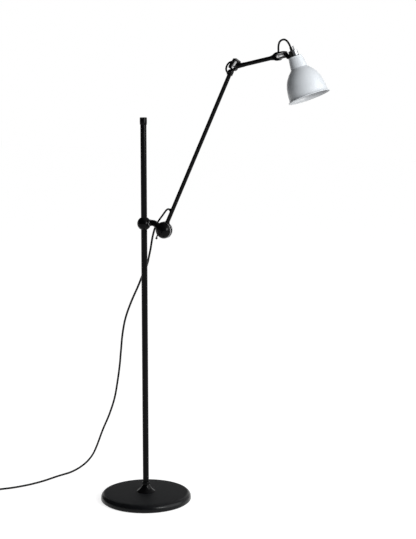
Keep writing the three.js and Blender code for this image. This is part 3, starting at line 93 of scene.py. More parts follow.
# Routes of the leads and of the cord, in millimetres. They repeat the part's source, but the
# elbow's two leads stand further out, which leaves the elbow room to swivel, and the second half
# of each loop starts where the first half ends.
CLIP = (39, 13.2, 925)
LOWER_LOOP = [
    (101.4, 0, 975.7),
    (96.5, 0, 978),
    (91.8, 0.3, 979.7),
    (86.3, 1.5, 978.6),
    (80.6, 3.2, 974.5),
    (74.3, 5.2, 968.2),
    (62.4, 9, 955.2),
    (53.5, 11.5, 945.7),
    (45.8, 13, 936.6),
    CLIP,
]
CLAMP_DROP = [
    CLIP,
    (31.7, 13.2, 910.4),
    (25.6, 13.4, 891.7),
    (20.5, 14.2, 872),
    (14.7, 16.8, 848),
    (8, 20.5, 828),
    (1.5, 24.5, 810),
]
FLOOR_DROP = [
    (1.38, 24.57, 809.65),
    (-2.6, 26.8, 798.6),
    (-8.6, 28.6, 784),
    (-16, 28.8, 769),
    (-24.5, 27.6, 751),
    (-39, 24.8, 716),
    (-65, 22.1, 660.5),
    (-88.3, 24, 604.4),
    (-105.7, 32.2, 546.9),
    (-119.5, 44.1, 488.7),
    (-133.1, 56.1, 429.8),
    (-149.6, 67.7, 370.1),
    (-169.5, 80.2, 309.3),
    (-198.7, 92.7, 246.4),
    (-239, 111.5, 179.6),
    (-278.3, 133.1, 111.3),
    (-299.5, 141.3, 77.4),
    (-322.7, 144.1, 49.2),
    (-345.3, 140.2, 28.1),
    (-363.9, 129.6, 14.4),
    (-379, 114.5, 6.3),
    (-390, 94.9, 3.5),
    (-397.5, 65.7, 3.5),
    (-402.9, 35.6, 3.5),
    (-408.2, 5.8, 3.5),
    (-415.9, -23.9, 3.5),
    (-428.4, -59.1, 3.5),
    (-446.1, -93.9, 3.5),
    (-465.3, -124, 3.5),
    (-480.3, -141.4, 3.5),
    (-489, -152.4, 3.5),
    (-497, -162.6, 3.5),
    (-505.5, -173.2, 3.5),
]
FIRST_ON_FLOOR = 21
ELBOW_LOOP_LOWER = [
    (307.25, 0, 1409.85),
    (304.35, 0.1, 1413),
    (299.9, 0.9, 1417.4),
    (296.7, 2.4, 1423.2),
    (296.1, 4.3, 1429.8),
    (298.3, 7, 1437.8),
    (302.4, 9.6, 1443.8),
    (304.1, 10.4, 1445),
]
ELBOW_LOOP_UPPER = [
    (304.1, 10.4, 1445),
    (305.6, 11.4, 1446),
    (311, 17, 1448),
    (317.5, 23.5, 1447.5),
    (325, 28, 1445),
    (333, 28.5, 1442),
    (339.5, 24.2, 1440.2),
    (343.1, 17.3, 1439.5),
    (346.4, 11.2, 1439.1),
    (351.9, 4, 1438.6),
]
HEAD_LOOP_LOWER = [
    (458.1, 4.9, 1464.2),
    (460.9, 7.9, 1467),
    (463.7, 11, 1469.8),
    (466.5, 13.6, 1473.8),
    (468.3, 14.8, 1479.6),
    (468.7, 13.6, 1487.4),
    (470.5, 10.6, 1497),
    (475.1, 6.8, 1506.4),
    (482.5, 3.6, 1512.2),
    (491, 1.3, 1514.55),
    (492.5, 1, 1514.6),
]
HEAD_LOOP_UPPER = [
    (492.5, 1, 1514.6),
    (494.3, 0.7, 1514.55),
    (501.5, 0, 1511.6),
    (507.1, 0, 1506),
    (511.3, 0, 1499.6),
    (514.2, 0, 1493.8),
    (517.8, 0, 1484.9),
    (520.7, 0, 1477.7),
]

# The coil of unused cord: turns side by side in a layer, and the next layer on top.
COIL_CENTRE = (-553.8, -165.6)
COIL_ENTRY = (-0.621, -0.784)
COIL_RADIUS = 36
COIL_COLUMNS = 3
COIL_LAYERS = 2
COIL_FLOOR = 3.5  # height of the first layer's middle
COIL_LAYER_GAP = 0.05
COIL_STEPS = 24  # points in each turn
LANE_CHANGE = 0.8  # share of a turn after which the cord moves over to its next lane
TAIL_LENGTH = 25.5
TAIL_DROP = 3.05
# Points of the tail: how far on, and the share of the drop there.
TAIL_POINTS = [(9, 0.3), (TAIL_LENGTH - 4, 0.95), (TAIL_LENGTH - 0.3, 1)]


def metres(points):
    return [Vector(point) * MM for point in points]


def centripetal(points, step):
    """A smooth curve through the points, as points about one step apart."""
    ends = [2 * points[0] - points[1]] + list(points) + [2 * points[-1] - points[-2]]
    line = []
    for before, start, end, after in zip(ends, ends[1:], ends[2:], ends[3:]):
        knots = [0.0]
        for a, b in ((before, start), (start, end), (end, after)):
            knots.append(knots[-1] + math.sqrt((b - a).length))
        t0, t1, t2, t3 = knots
        count = max(2, round((end - start).length / step))
        for i in range(count):
            t = t1 + (t2 - t1) * i / count
            a1 = before * ((t1 - t) / (t1 - t0)) + start * ((t - t0) / (t1 - t0))
            a2 = start * ((t2 - t) / (t2 - t1)) + end * ((t - t1) / (t2 - t1))
            a3 = end * ((t3 - t) / (t3 - t2)) + after * ((t - t2) / (t3 - t2))
            b1 = a1 * ((t2 - t) / (t2 - t0)) + a2 * ((t - t0) / (t2 - t0))
            b2 = a2 * ((t3 - t) / (t3 - t1)) + a3 * ((t - t1) / (t3 - t1))
            line.append(b1 * ((t2 - t) / (t2 - t1)) + b2 * ((t - t1) / (t2 - t1)))
    line.append(points[-1].copy())
    return line


def coil_turns():
    """Points of the coil: in along the floor to the inner turn, then out along the top."""
    pitch = 2 * CORD_RADIUS
    outer = COIL_RADIUS + (COIL_COLUMNS - 1) * pitch / 2
    columns = [outer - pitch * i for i in range(COIL_COLUMNS)]
    lanes = []
    for layer in range(COIL_LAYERS):
        height = COIL_FLOOR + layer * (pitch + COIL_LAYER_GAP)
        ordered = columns if layer % 2 == 0 else columns[::-1]
        lanes += [(radius, height) for radius in ordered]
    start = math.atan2(-COIL_ENTRY[0], COIL_ENTRY[1]) + math.pi
    points = []
    total = (len(lanes) - 1) * COIL_STEPS + COIL_STEPS // 4
    for i in range(total + 1):
        lane, within = divmod(i, COIL_STEPS)
        share = within / COIL_STEPS
        radius, height = lanes[lane]
        if lane + 1 < len(lanes) and share > LANE_CHANGE:
            blend = (share - LANE_CHANGE) / (1 - LANE_CHANGE)
            blend = blend * blend * (3 - 2 * blend)
            radius += (lanes[lane + 1][0] - radius) * blend
            height += (lanes[lane + 1][1] - height) * blend
        angle = start - 2 * math.pi * i / COIL_STEPS
        points.append((
            COIL_CENTRE[0] + radius * math.cos(angle),
            COIL_CENTRE[1] + radius * math.sin(angle),
            height,
        ))
    return points


def cord_tail(last):
    """From the coil's last point into the plug's sleeve."""
    along = Vector((COIL_ENTRY[1], -COIL_ENTRY[0], 0))
    start = Vector(last)
    down = Vector((0, 0, TAIL_DROP))
    return [start + along * reach - down * share for reach, share in TAIL_POINTS]


def tube(name, line, radius, material):
    """A round tube along a line, with closed ends."""
    rings = []
    tangent = (line[1] - line[0]).normalized()
    side = tangent.orthogonal().normalized()
    for i, point in enumerate(line):
        before = line[max(i - 1, 0)]
        after = line[min(i + 1, len(line) - 1)]
        new_tangent = (after - before).normalized()
        side = tangent.rotation_difference(new_tangent) @ side
        side = (side - new_tangent * side.dot(new_tangent)).normalized()
        tangent = new_tangent
        up = tangent.cross(side)
        for k in range(CORD_SIDES):
            turn = 2 * math.pi * k / CORD_SIDES
            rings.append(point + radius * (math.cos(turn) * side + math.sin(turn) * up))
    faces = []
    for i in range(len(line) - 1):
        for k in range(CORD_SIDES):
            a = i * CORD_SIDES + k
            b = i * CORD_SIDES + (k + 1) % CORD_SIDES
            faces.append((a, b, b + CORD_SIDES, a + CORD_SIDES))
    faces.append(tuple(reversed(range(CORD_SIDES))))
    last = (len(line) - 1) * CORD_SIDES
    faces.append(tuple(last + k for k in range(CORD_SIDES)))
    mesh = bpy.data.meshes.new(name)
    mesh.from_pydata([tuple(p) for p in rings], [], faces)
    for polygon in mesh.polygons:
        polygon.use_smooth = len(polygon.vertices) == 4
    mesh.materials.append(material)
    piece = bpy.data.objects.new(name, mesh)
    scene.collection.objects.link(piece)
    return piece


# ---------------------------------------------------------------- materials
def new_material(name, color, roughness, metallic=0.0):
    material = bpy.data.materials.new(name)
    material.use_nodes = True
    shader = material.node_tree.nodes["Principled BSDF"]
    shader.inputs["Base Color"].default_value = (*color, 1)
    shader.inputs["Roughness"].default_value = roughness
    shader.inputs["Metallic"].default_value = metallic
    return material, material.node_tree, shader


def add_noise(tree, scale, detail=4.0, stretch=None):
    """Noise in the object's own coordinates, stretched along an axis where asked."""
    coordinates = tree.nodes.new("ShaderNodeTexCoord")
    mapping = tree.nodes.new("ShaderNodeMapping")
    mapping.inputs["Scale"].default_value = stretch or (1, 1, 1)
    noise = tree.nodes.new("ShaderNodeTexNoise")
    noise.inputs["Scale"].default_value = scale
    noise.inputs["Detail"].default_value = detail
    tree.links.new(coordinates.outputs["Object"], mapping.inputs["Vector"])
    tree.links.new(mapping.outputs["Vector"], noise.inputs["Vector"])
    return noise


def add_bump(tree, shader, source, strength, distance):
    bump = tree.nodes.new("ShaderNodeBump")
    bump.inputs["Strength"].default_value = strength
    bump.inputs["Distance"].default_value = distance
    tree.links.new(source, bump.inputs["Height"])
    tree.links.new(bump.outputs["Normal"], shader.inputs["Normal"])


def vary(tree, source, target, low, high):
    """Maps a 0 to 1 value onto a shader's number."""
    spread = tree.nodes.new("ShaderNodeMapRange")
    spread.inputs["To Min"].default_value = low
    spread.inputs["To Max"].default_value = high
    tree.links.new(source, spread.inputs["Value"])
    tree.links.new(spread.outputs["Result"], target)


def vary_color(tree, source, target, low, high):
    ramp = tree.nodes.new("ShaderNodeValToRGB")
    ramp.color_ramp.elements[0].position = 0.3
    ramp.color_ramp.elements[0].color = (*low, 1)
    ramp.color_ramp.elements[1].position = 0.7
    ramp.color_ramp.elements[1].color = (*high, 1)
    tree.links.new(source, ramp.inputs["Fac"])
    tree.links.new(ramp.outputs["Color"], target)


BASE_RIM = (0.136, 0.143)  # where the base's paint turns smooth, from its middle
BASE_ROUGHNESS = (0.7, 0.24)  # on its top and round its rim
BUMP_DEPTH = 0.0002
STEEL_BUMP_DEPTH = 0.0001


def black_paint(name, roughness, level, grain, bump):
    """Black paint: smooth on the tubes, grained and duller on the base."""
    material, tree, shader = new_material(name, (0.002, 0.002, 0.0025), roughness)
    shader.inputs["Specular IOR Level"].default_value = level
    cloud = add_noise(tree, 60)
    vary_color(tree, cloud.outputs["Fac"], shader.inputs["Base Color"],
               (0.0015, 0.0015, 0.002), (0.003, 0.003, 0.0035))
    vary(tree, cloud.outputs["Fac"], shader.inputs["Roughness"],
         roughness - 0.04, roughness + 0.04)
    peel = add_noise(tree, grain, 2)
    add_bump(tree, shader, peel.outputs["Fac"], bump, BUMP_DEPTH)
    return material


def base_paint():
    """The base's grained paint, which is smoother round its rim."""
    material, tree, shader = new_material("cast_weight", (0.006, 0.006, 0.007), 0.6)
    shader.inputs["Specular IOR Level"].default_value = 0.14
    cloud = add_noise(tree, 60)
    vary_color(tree, cloud.outputs["Fac"], shader.inputs["Base Color"],
               (0.0045, 0.005, 0.006), (0.007, 0.0075, 0.009))
    coordinates = tree.nodes.new("ShaderNodeTexCoord")
    flat = tree.nodes.new("ShaderNodeVectorMath")
    flat.operation = "MULTIPLY"
    flat.inputs[1].default_value = (1, 1, 0)
    reach = tree.nodes.new("ShaderNodeVectorMath")
    reach.operation = "LENGTH"
    worn = tree.nodes.new("ShaderNodeMapRange")
    worn.inputs["From Min"].default_value = BASE_RIM[0]
    worn.inputs["From Max"].default_value = BASE_RIM[1]
    worn.inputs["To Min"].default_value = BASE_ROUGHNESS[0]
    worn.inputs["To Max"].default_value = BASE_ROUGHNESS[1]
    tree.links.new(coordinates.outputs["Object"], flat.inputs[0])
    tree.links.new(flat.outputs["Vector"], reach.inputs[0])
    tree.links.new(reach.outputs["Value"], worn.inputs["Value"])
    tree.links.new(worn.outputs["Result"], shader.inputs["Roughness"])
    peel = add_noise(tree, 1400, 2)
    add_bump(tree, shader, peel.outputs["Fac"], 0.12, BUMP_DEPTH)
    return material


def white_paint(name, color):
    """Satin paint, a little cool; the shade's inside gets a greyer version of it, which is painted shade."""
    material, tree, shader = new_material(name, color, 0.3)
    cloud = add_noise(tree, 25)
    vary_color(tree, cloud.outputs["Fac"], shader.inputs["Base Color"],
               [part * 0.98 for part in color], [part * 1.02 for part in color])
    vary(tree, cloud.outputs["Fac"], shader.inputs["Roughness"], 0.26, 0.36)
    peel = add_noise(tree, 500, 2)
    add_bump(tree, shader, peel.outputs["Fac"], 0.06, BUMP_DEPTH)
    return material


def polished_metal():
    material, tree, shader = new_material("polished_metal", (0.62, 0.64, 0.67), 0.14, 1.0)
    cloud = add_noise(tree, 200)
    vary(tree, cloud.outputs["Fac"], shader.inputs["Roughness"], 0.1, 0.18)
    return material


def satin_metal():
    """The pale satin plating of the knuckles' barrels."""
    material, tree, shader = new_material("satin_metal", (0.96, 0.96, 0.97), 0.48, 0.6)
    brushed = add_noise(tree, 300, 3, (1, 1, 0.1))
    vary(tree, brushed.outputs["Fac"], shader.inputs["Roughness"], 0.42, 0.52)
    vary_color(tree, brushed.outputs["Fac"], shader.inputs["Base Color"],
               (0.94, 0.94, 0.95), (0.97, 0.97, 0.98))
    return material


def steel(name, color):
    material, tree, shader = new_material(name, (color, color, color * 1.02), 0.3, 1.0)
    grain = add_noise(tree, 700, 3)
    vary(tree, grain.outputs["Fac"], shader.inputs["Roughness"], 0.22, 0.42)
    add_bump(tree, shader, grain.outputs["Fac"], 0.1, STEEL_BUMP_DEPTH)
    return material


def soft_black(name, roughness, scale):
    material, tree, shader = new_material(name, (0.006, 0.006, 0.006), roughness)
    shader.inputs["Specular IOR Level"].default_value = 0.1
    grain = add_noise(tree, scale, 3)
    vary(tree, grain.outputs["Fac"], shader.inputs["Roughness"],
         roughness - 0.08, roughness + 0.08)
    vary_color(tree, grain.outputs["Fac"], shader.inputs["Base Color"],
               (0.002, 0.002, 0.002), (0.005, 0.005, 0.005))
    add_bump(tree, shader, grain.outputs["Fac"], 0.15, BUMP_DEPTH)
    return material


def plain(name, low, high, roughness, scale, metallic=0.0):
    material, tree, shader = new_material(name, low, roughness, metallic)
    cloud = add_noise(tree, scale)
    vary_color(tree, cloud.outputs["Fac"], shader.inputs["Base Color"], low, high)
    vary(tree, cloud.outputs["Fac"], shader.inputs["Roughness"],
         roughness - 0.06, roughness + 0.06)
    return material


def opal_glass():
    material, tree, shader = new_material("opal_glass", (0.9, 0.89, 0.86), 0.18)
    shader.inputs["Subsurface Weight"].default_value = 0.3
    cloud = add_noise(tree, 40)
    vary_color(tree, cloud.outputs["Fac"], shader.inputs["Base Color"],
               (0.88, 0.87, 0.84), (0.92, 0.91, 0.88))
    return material


FINISHES = {
    "black_paint": black_paint("black_paint", 0.14, 0.08, 900, 0.05),
    "cast_weight": base_paint(),
    "white_paint": white_paint("white_paint", (0.77, 0.81, 0.85)),
    "polished_metal": polished_metal(),
    "steel": steel("steel", 0.55),
    "black_rubber": soft_black("black_rubber", 0.6, 900),
    "cord_sheath": soft_black("cord_sheath", 0.5, 1500),
    "nylon": soft_black("nylon", 0.5, 800),
    "pad_felt": soft_black("pad_felt", 0.9, 2500),
    "holder_ceramic": plain("holder_ceramic", (0.72, 0.7, 0.66), (0.78, 0.76, 0.72), 0.25, 120),
    "switch_grey": plain("switch_grey", (0.45, 0.45, 0.46), (0.5, 0.5, 0.51), 0.35, 300),
    "contact_brass": plain("contact_brass", (0.6, 0.55, 0.45), (0.68, 0.62, 0.5), 0.25, 400, 1.0),
    "bulb_glass": opal_glass(),
}

SATIN = satin_metal()
BLACKENED = steel("blackened_steel", 0.05)
NODE_FINISHES = {
    "elbow_dome": SATIN,
    "elbow_barrel": SATIN,
    "head_dome": SATIN,
    "head_barrel": SATIN,
    "elbow_screw": BLACKENED,
    "bracket_spacer": steel("dull_steel", 0.3),
}
# The greyer paint of the shade's inside is painted shade: it darkens the inside as if it lay in shade.
SHADE_INSIDE_PAINTED_SHADE = white_paint("white_paint_inside_painted_shade", (0.63, 0.65, 0.67))

for entry in frame["record"]["subparts"]:
    finish = NODE_FINISHES.get(entry["node"], FINISHES[entry["material_slot"]])
    mesh = nodes[entry["node"]].data
    mesh.materials.clear()
    mesh.materials.append(finish)

CORD = FINISHES["cord_sheath"]


def cable(name, points, radius, a, b, replaced, first=0, last=-1, far_end="object", **facts):
    """A cord along a route, in place of its CAD nodes.

    Bodies a and b are not used.
    """
    route = metres(points)
    line = centripetal(route, CORD_STEP)
    piece = tube(name, line, radius * MM, CORD)
    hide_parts(*replaced)
    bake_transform(piece)


def make_leads():
    loops = [
        ("elbow_lower", ELBOW_LOOP_LOWER, "lower_arm", "elbow_spindle", 0, -1),
        ("elbow_upper", ELBOW_LOOP_UPPER, "elbow_spindle", "upper_arm", 0, -4),
        ("head_lower", HEAD_LOOP_LOWER, "upper_arm", "head_spindle", 3, -1),
        ("head_upper", HEAD_LOOP_UPPER, "head_spindle", "head", 0, -3),
    ]
    for name, points, a, b, first, last in loops:
        node = name.replace("_", "_loop_")
        cable("lead_" + name, points, LEAD_RADIUS, a, b, [node], first, last,
              stiffness="limp", lay="hanging")
    cable("lead_clamp", LOWER_LOOP, LEAD_RADIUS, "lower_arm", "clamp", ["lower_loop"],
          stiffness="limp", lay="hanging")
    cable("cord_clamp", CLAMP_DROP, CORD_RADIUS, "clamp", "liner", ["clamp_drop"],
          stiffness="limp", lay="hanging")


def make_free_cord():
    turns = coil_turns()
    points = FLOOR_DROP + turns + [tuple(point) for point in cord_tail(turns[-1])]
    plug = [nodes["plug_body"], nodes["plug_pin_left"], nodes["plug_pin_right"]]
    cable("cord_free", points, CORD_RADIUS, "liner", "stand", ["floor_drop", "cord_coil"],
          last=FIRST_ON_FLOOR, far_end="plug", stiffness="medium", lay="coiled",
          with_pieces=plug)


make_leads()
make_free_cord()

# ---------------------------------------------------------------- smooth pieces
CORNER = math.radians(35)  # an outline that turns by more than this has an edge there
BEND = 0.03  # an outline that turns by more than this, and isn't at an edge, is curved there
EASE = 0.0004  # how far an edge is rounded
EASE_SHARE = 0.3  # of each side at that edge, at most
WELD = 1e-6
FLAT = math.radians(0.5)  # faces that differ by less are made one
RIM_WALL = 0.003  # the two corners of the shade's rim are nearer to each other than this
BEAD_RADIUS = 0.0013
BEAD_STEPS = 12
BEAD_SINK = 0.4  # share of the bead's radius by which it sits back on the wall
# The next two bound the inner top, which takes the painted shade with the inside walls.
INSIDE_REACH = 0.03  # how far from the axis the shade's inner top goes
INSIDE_TILT = -0.2  # a face of the inner top looks down the axis by more than this
SOFT_STEPS = 4  # steps that a curved stretch of an outline gets for each of its own

BODIES = {node: body for body, members in frame["record"]["behaviour"]["bodies"].items()
          for node in members}


def joint(name):
    return next(entry for entry in frame["joints"] if entry["name"] == name)


def outline_of(node, axis):
    """A turned node's centre, and its outline on one side as [(radius, height)] from there."""
    mesh = bmesh.new()
    mesh.from_mesh(node.data)
    bmesh.ops.remove_doubles(mesh, verts=mesh.verts, dist=WELD)
    centre = sum((v.co for v in mesh.verts), Vector()) / len(mesh.verts)
    spots = {}
    for v in mesh.verts:
        height = (v.co - centre).dot(axis)
        spots[v] = (v.co - centre - axis * height, height)
    farthest = max(spots.values(), key=lambda spot: spot[0].length)[0].normalized()
    # A list, because a set of vertices has another order in each run.
    side = [v for v, (radial, _) in spots.items()
            if radial.length < 1e-5 or radial.normalized().dot(farthest) > 0.9995]
    near = {v: [e.other_vert(v) for e in v.link_edges if e.other_vert(v) in side] for v in side}
    ends = [v for v in side if len(near[v]) == 1]
    path = [ends[0] if ends else side[0]]
    while True:
        ahead = [v for v in near[path[-1]] if v not in path]
        if not ahead:
            break
        path.append(ahead[0])
    points = [Vector((spots[v][0].length, spots[v][1])) for v in path]
    if len(points) != len(side):
        raise ValueError(f"{node.name} isn't a turned piece")
    mesh.free()
    return centre, points, not ends


def softened(points, closed):
    """The outline with its curved stretches refined and its edges eased."""
    count = len(points)

    def at(i):
        return points[i % count] if closed else points[min(max(i, 0), count - 1)]

    def turn(i):
        if not closed and i in (0, count - 1):
            return 0.0
        before, after = at(i) - at(i - 1), at(i + 1) - at(i)
        return abs(before.angle_signed(after, 0))

    is_corner = [turn(i) > CORNER for i in range(count)]
    result = []
    for i in range(count if closed else count - 1):
        start, end = at(i), at(i + 1)
        if is_corner[i]:
            before = at(i - 1)
            shorter = min((start - before).length, (end - start).length)
            reach = min(EASE, shorter * EASE_SHARE)
            a = start + (before - start).normalized() * reach
            b = start + (end - start).normalized() * reach
            for t in (0, 1 / 3, 2 / 3, 1):
                result.append(a * (1 - t) ** 2 + start * 2 * t * (1 - t) + b * t ** 2)
        else:
            result.append(start)
        if any(turn(k) > BEND and not is_corner[k % count] for k in (i, i + 1)):
            before = start if is_corner[i] else at(i - 1)
            after = end if is_corner[(i + 1) % count] else at(i + 2)
            m0 = (end - before) * 0.5 if before is not start else end - start
            m1 = (after - start) * 0.5 if after is not end else end - start
            limit = (end - start).length
            m0 = m0.normalized() * limit
            m1 = m1.normalized() * limit
            for k in range(1, SOFT_STEPS):
                t = k / SOFT_STEPS
                h = 2 * t ** 3 - 3 * t ** 2 + 1
                result.append(start * h + m0 * (t ** 3 - 2 * t ** 2 + t) + end * (1 - h)
                              + m1 * (t ** 3 - t ** 2))
    if not closed:
        result.append(points[-1])
    return result


def lathe(target, centre, axis, outline, closed, sides):
    """Adds an outline turned about an axis to a bmesh."""
    across = axis.orthogonal().normalized()
    up = axis.cross(across)
    rings = []
    for radius, height in outline:
        middle = centre + axis * height
        if radius < 1e-6:
            rings.append([target.verts.new(middle)])
            continue
        ring = []
        for k in range(sides):
            turn = 2 * math.pi * k / sides
            spoke = math.cos(turn) * across + math.sin(turn) * up
            ring.append(target.verts.new(middle + radius * spoke))
        rings.append(ring)
    pairs = list(zip(rings, rings[1:]))
    if closed:
        pairs.append((rings[-1], rings[0]))
    for one, two in pairs:
        for k in range(sides):
            corners = [one[k % len(one)], one[(k + 1) % sides % len(one)],
                       two[(k + 1) % sides % len(two)], two[k % len(two)]]
            corners = list(dict.fromkeys(corners))
            if len(corners) > 2:
                target.faces.new(corners)


def finish_piece(mesh, node, sharp=math.radians(40)):
    """Makes the bmesh a smooth-shaded piece that rides in place of a CAD node."""
    name = node + "_smooth"
    bmesh.ops.recalc_face_normals(mesh, faces=mesh.faces)
    data = bpy.data.meshes.new(name)
    mesh.to_mesh(data)
    mesh.free()
    data.shade_smooth()
    data.set_sharp_from_angle(angle=sharp)
    data.materials.append(nodes[node].data.materials[0])
    piece = bpy.data.objects.new(name, data)
    scene.collection.objects.link(piece)
    weighted = piece.modifiers.new("weighted", "WEIGHTED_NORMAL")
    weighted.keep_sharp = True
    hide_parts(node)
    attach(piece, BODIES[node])
    return piece


def rolled(points):
    """The shade's outline with a bead round its rim."""
    count = len(points)
    rim = max(range(count), key=lambda i: points[i].x)
    step = 1 if (points[(rim + 1) % count] - points[rim]).length < RIM_WALL else -1
    ring = [points[(rim + step * i) % count] for i in range(count)]  # outer rim, inner rim, inside
    outer, inner = ring[:2]
    middle = (outer + inner) / 2
    wall = ((ring[2] + ring[-1]) / 2 - middle).normalized()
    across = (outer - inner).normalized()
    across = (across - wall * across.dot(wall)).normalized()
    middle += wall * BEAD_RADIUS * BEAD_SINK
    begin = math.asin((outer - inner).length / 2 / BEAD_RADIUS)
    bead = []
    for i in range(BEAD_STEPS + 1):
        turn = begin + (2 * math.pi - 2 * begin) * i / BEAD_STEPS
        bead.append(middle + BEAD_RADIUS * (math.cos(turn) * wall + math.sin(turn) * across))
    return bead + ring[2:]


def turned(node, axis, sides):
    """A smooth copy of a turned CAD node."""
    centre, outline, closed = outline_of(nodes[node], axis)
    if node == "shade":
        outline = rolled(outline)
    mesh = bmesh.new()
    lathe(mesh, centre, axis, softened(outline, closed), closed, sides)
    return finish_piece(mesh, node)


def paint_inside_as_shaded(piece, centre, axis):
    """Gives the faces that look towards the axis the inside's greyer paint, which is painted shade."""
    piece.data.materials.append(SHADE_INSIDE_PAINTED_SHADE)
    for face in piece.data.polygons:
        outward = face.center - centre
        outward -= axis * outward.dot(axis)
        inner_top = face.normal.dot(axis) < INSIDE_TILT and outward.length < INSIDE_REACH
        if face.normal.dot(outward) < 0 or inner_top:
            face.material_index = 1


def eased(node):
    """A copy of a CAD node with shared corners, shaded smooth between its edges."""
    mesh = bmesh.new()
    mesh.from_mesh(nodes[node].data)
    bmesh.ops.remove_doubles(mesh, verts=mesh.verts, dist=WELD)
    bmesh.ops.dissolve_limit(mesh, angle_limit=FLAT, verts=mesh.verts, edges=mesh.edges)
    finish_piece(mesh, node, math.radians(32))


def make_smooth_pieces():
    across = Vector(joint("arm_tilt")["axis"])
    knuckle = Vector(joint("elbow_swivel")["axis"])
    upper = Vector(joint("head_swivel")["axis"])
    shade = Vector(joint("switch_press")["axis"])
    groups = [
        (UP, 160, ["floor_pad", "base_plate"]),
        (UP, 64, ["pole_collar", "pole", "pole_cap"]),
        (Vector((1, 0, 0)), 48, ["bracket_spacer"]),
        (across, 64, ["joint_cap", "friction_disc_near", "friction_disc_far"]),
        (across, 32, ["pivot_bolt", "elbow_pin", "head_pin"]),
        (knuckle, 48, ["elbow_dome", "elbow_washer", "elbow_barrel", "elbow_screw"]),
        (upper, 48, ["upper_arm_tube", "head_dome", "head_washer", "head_barrel", "head_spacer"]),
        (shade, 128, ["shade"]),
        (shade, 64, ["bulb", "bulb_base"]),
        (shade, 32, ["cord_gland", "lamp_switch"]),
    ]
    done = set()
    for axis, sides, names in groups:
        for name in names:
            piece = turned(name, axis.normalized(), sides)
            done.add(name)
            if name == "shade":
                # Painted shade: the shade's inside faces get the greyer paint.
                low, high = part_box("bulb_base")
                paint_inside_as_shaded(piece, (Vector(low) + Vector(high)) / 2, axis.normalized())
    soft = {"lower_loop", "clamp_drop", "floor_drop", "elbow_loop_lower", "elbow_loop_upper",
            "head_loop_lower", "head_loop_upper", "cord_coil"}
    hidden = {"base_bolt", "pole_insert", "bracket_stud"}
    plug = {"plug_body", "plug_pin_left", "plug_pin_right"}
    for name in sorted(set(nodes) - done - soft - hidden - plug):
        eased(name)


make_smooth_pieces()

# ---------------------------------------------------------------- stage and lights
BRIGHT_SIDE = (RIGHT * 0.85 - BACK * 0.1 + UP * 0.5).normalized()
FLOOR_HALF = 14.0
FLOOR_COLOR = 0.55
FLOOR_GLOW = 0.82
WORLD_DIM = 0.08
WORLD_BRIGHT = 0.69
WORLD_EDGE = (0.15, 0.9)
BACKDROP = (0.8, 0.93)
SOFTBOX_ANGLE = 75  # round from the camera
SOFTBOX_RISE = 22
SOFTBOX_EDGE = (0.84, 0.91)
SOFTBOX_LEVEL = 2.6  # seen by glossy and transmission rays only
KEY_ANGLE = 41  # round from the camera
KEY_DISTANCE = 2.8
KEY_HEIGHT = 1.65
KEY_SIZE = (0.95, 1.35)
KEY_POWER = 52
KEY_TARGET = (0.2, 0, 1.1)


def join(tree, operation, one, two):
    math_node = tree.nodes.new("ShaderNodeMath")
    math_node.operation = operation
    tree.links.new(one, math_node.inputs[0])
    tree.links.new(two, math_node.inputs[1])
    return math_node.outputs["Value"]


def any_ray(tree, *names):
    """1 for a ray of any of the named kinds."""
    rays = tree.nodes.new("ShaderNodeLightPath")
    value = rays.outputs[names[0]]
    for name in names[1:]:
        value = join(tree, "MAXIMUM", value, rays.outputs[name])
    return value


def round_from_camera(angle):
    """A level direction, so many degrees from the camera's towards the right."""
    turn = math.radians(angle)
    return BACK * math.cos(turn) + RIGHT * math.sin(turn)


def make_stage():
    mesh = bpy.data.meshes.new("floor")
    corners = [(-1, -1), (1, -1), (1, 1), (-1, 1)]
    mesh.from_pydata([(x * FLOOR_HALF, y * FLOOR_HALF, 0) for x, y in corners],
                     [], [(0, 1, 2, 3)])
    floor = bpy.data.objects.new("floor", mesh)
    scene.collection.objects.link(floor)
    material = bpy.data.materials.new("floor")
    material.use_nodes = True
    tree = material.node_tree
    tree.nodes.clear()
    output = tree.nodes.new("ShaderNodeOutputMaterial")
    matte = tree.nodes.new("ShaderNodeBsdfDiffuse")
    matte.inputs["Color"].default_value = (FLOOR_COLOR, FLOOR_COLOR, FLOOR_COLOR, 1)
    white = tree.nodes.new("ShaderNodeEmission")
    white.inputs["Strength"].default_value = FLOOR_GLOW
    mix = tree.nodes.new("ShaderNodeMixShader")
    add = tree.nodes.new("ShaderNodeAddShader")
    tree.links.new(matte.outputs["BSDF"], add.inputs[0])
    tree.links.new(white.outputs["Emission"], add.inputs[1])
    seen = any_ray(tree, "Is Camera Ray", "Is Glossy Ray", "Is Transmission Ray")
    tree.links.new(seen, mix.inputs["Fac"])
    tree.links.new(matte.outputs["BSDF"], mix.inputs[1])
    tree.links.new(add.outputs["Shader"], mix.inputs[2])
    tree.links.new(mix.outputs["Shader"], output.inputs["Surface"])
    mesh.materials.append(material)


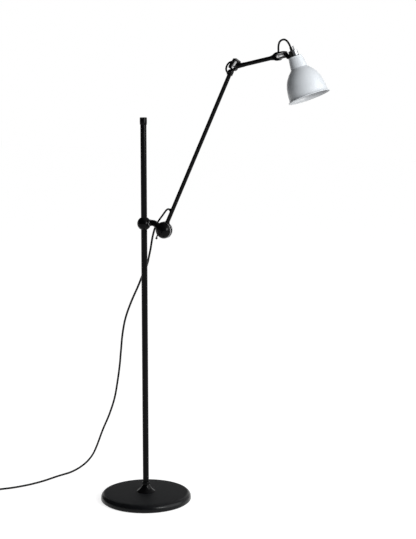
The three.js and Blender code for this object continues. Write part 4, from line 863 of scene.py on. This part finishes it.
def ramp_along(tree, direction, edge, low, high):
    """A level that rises from low to high as a ray turns towards a direction."""
    coordinates = tree.nodes.new("ShaderNodeTexCoord")
    facing = tree.nodes.new("ShaderNodeVectorMath")
    facing.operation = "DOT_PRODUCT"
    facing.inputs[1].default_value = direction
    level = tree.nodes.new("ShaderNodeMapRange")
    level.interpolation_type = "SMOOTHSTEP"
    level.inputs["From Min"].default_value = edge[0]
    level.inputs["From Max"].default_value = edge[1]
    level.inputs["To Min"].default_value = low
    level.inputs["To Max"].default_value = high
    tree.links.new(coordinates.outputs["Generated"], facing.inputs[0])
    tree.links.new(facing.outputs["Value"], level.inputs["Value"])
    return level.outputs["Result"]


def towards_white(tree, level, share):
    """The level, or 1 where the share is 1."""
    mix = tree.nodes.new("ShaderNodeMix")
    mix.inputs["B"].default_value = 1.0
    tree.links.new(share, mix.inputs["Factor"])
    tree.links.new(level, mix.inputs["A"])
    return mix.outputs["Result"]


def make_world():
    """A studio that is bright on the right and dim on the left, with a white backdrop."""
    world = bpy.data.worlds.new("studio")
    world.use_nodes = True
    scene.world = world
    tree = world.node_tree
    background = tree.nodes["Background"]
    background.inputs["Color"].default_value = (1, 1, 1, 1)
    mirrored = any_ray(tree, "Is Glossy Ray", "Is Transmission Ray")
    light = ramp_along(tree, BRIGHT_SIDE, WORLD_EDGE, WORLD_DIM, WORLD_BRIGHT)
    rise = math.radians(SOFTBOX_RISE)
    softbox = round_from_camera(SOFTBOX_ANGLE) * math.cos(rise) + UP * math.sin(rise)
    box = ramp_along(tree, softbox, SOFTBOX_EDGE, 0, SOFTBOX_LEVEL)
    light = join(tree, "ADD", light, join(tree, "MULTIPLY", box, mirrored))
    behind = join(tree, "MULTIPLY", ramp_along(tree, -BACK, BACKDROP, 0, 1), mirrored)
    light = towards_white(tree, light, behind)
    light = towards_white(tree, light, any_ray(tree, "Is Camera Ray"))
    tree.links.new(light, background.inputs["Strength"])


def add_lamp(name, place, target, size, power):
    data = bpy.data.lights.new(name, "AREA")
    data.shape = "RECTANGLE"
    data.size, data.size_y = size
    data.energy = power
    lamp = bpy.data.objects.new(name, data)
    lamp.location = place
    lamp.rotation_euler = (Vector(target) - Vector(place)).to_track_quat("-Z", "Y").to_euler()
    scene.collection.objects.link(lamp)


def make_lights():
    place = Vector(KEY_TARGET) + round_from_camera(KEY_ANGLE) * KEY_DISTANCE
    place.z = KEY_HEIGHT
    add_lamp("key", place, KEY_TARGET, KEY_SIZE, KEY_POWER)


make_stage()
make_world()
make_lights()
scene.view_settings.view_transform = "Standard"
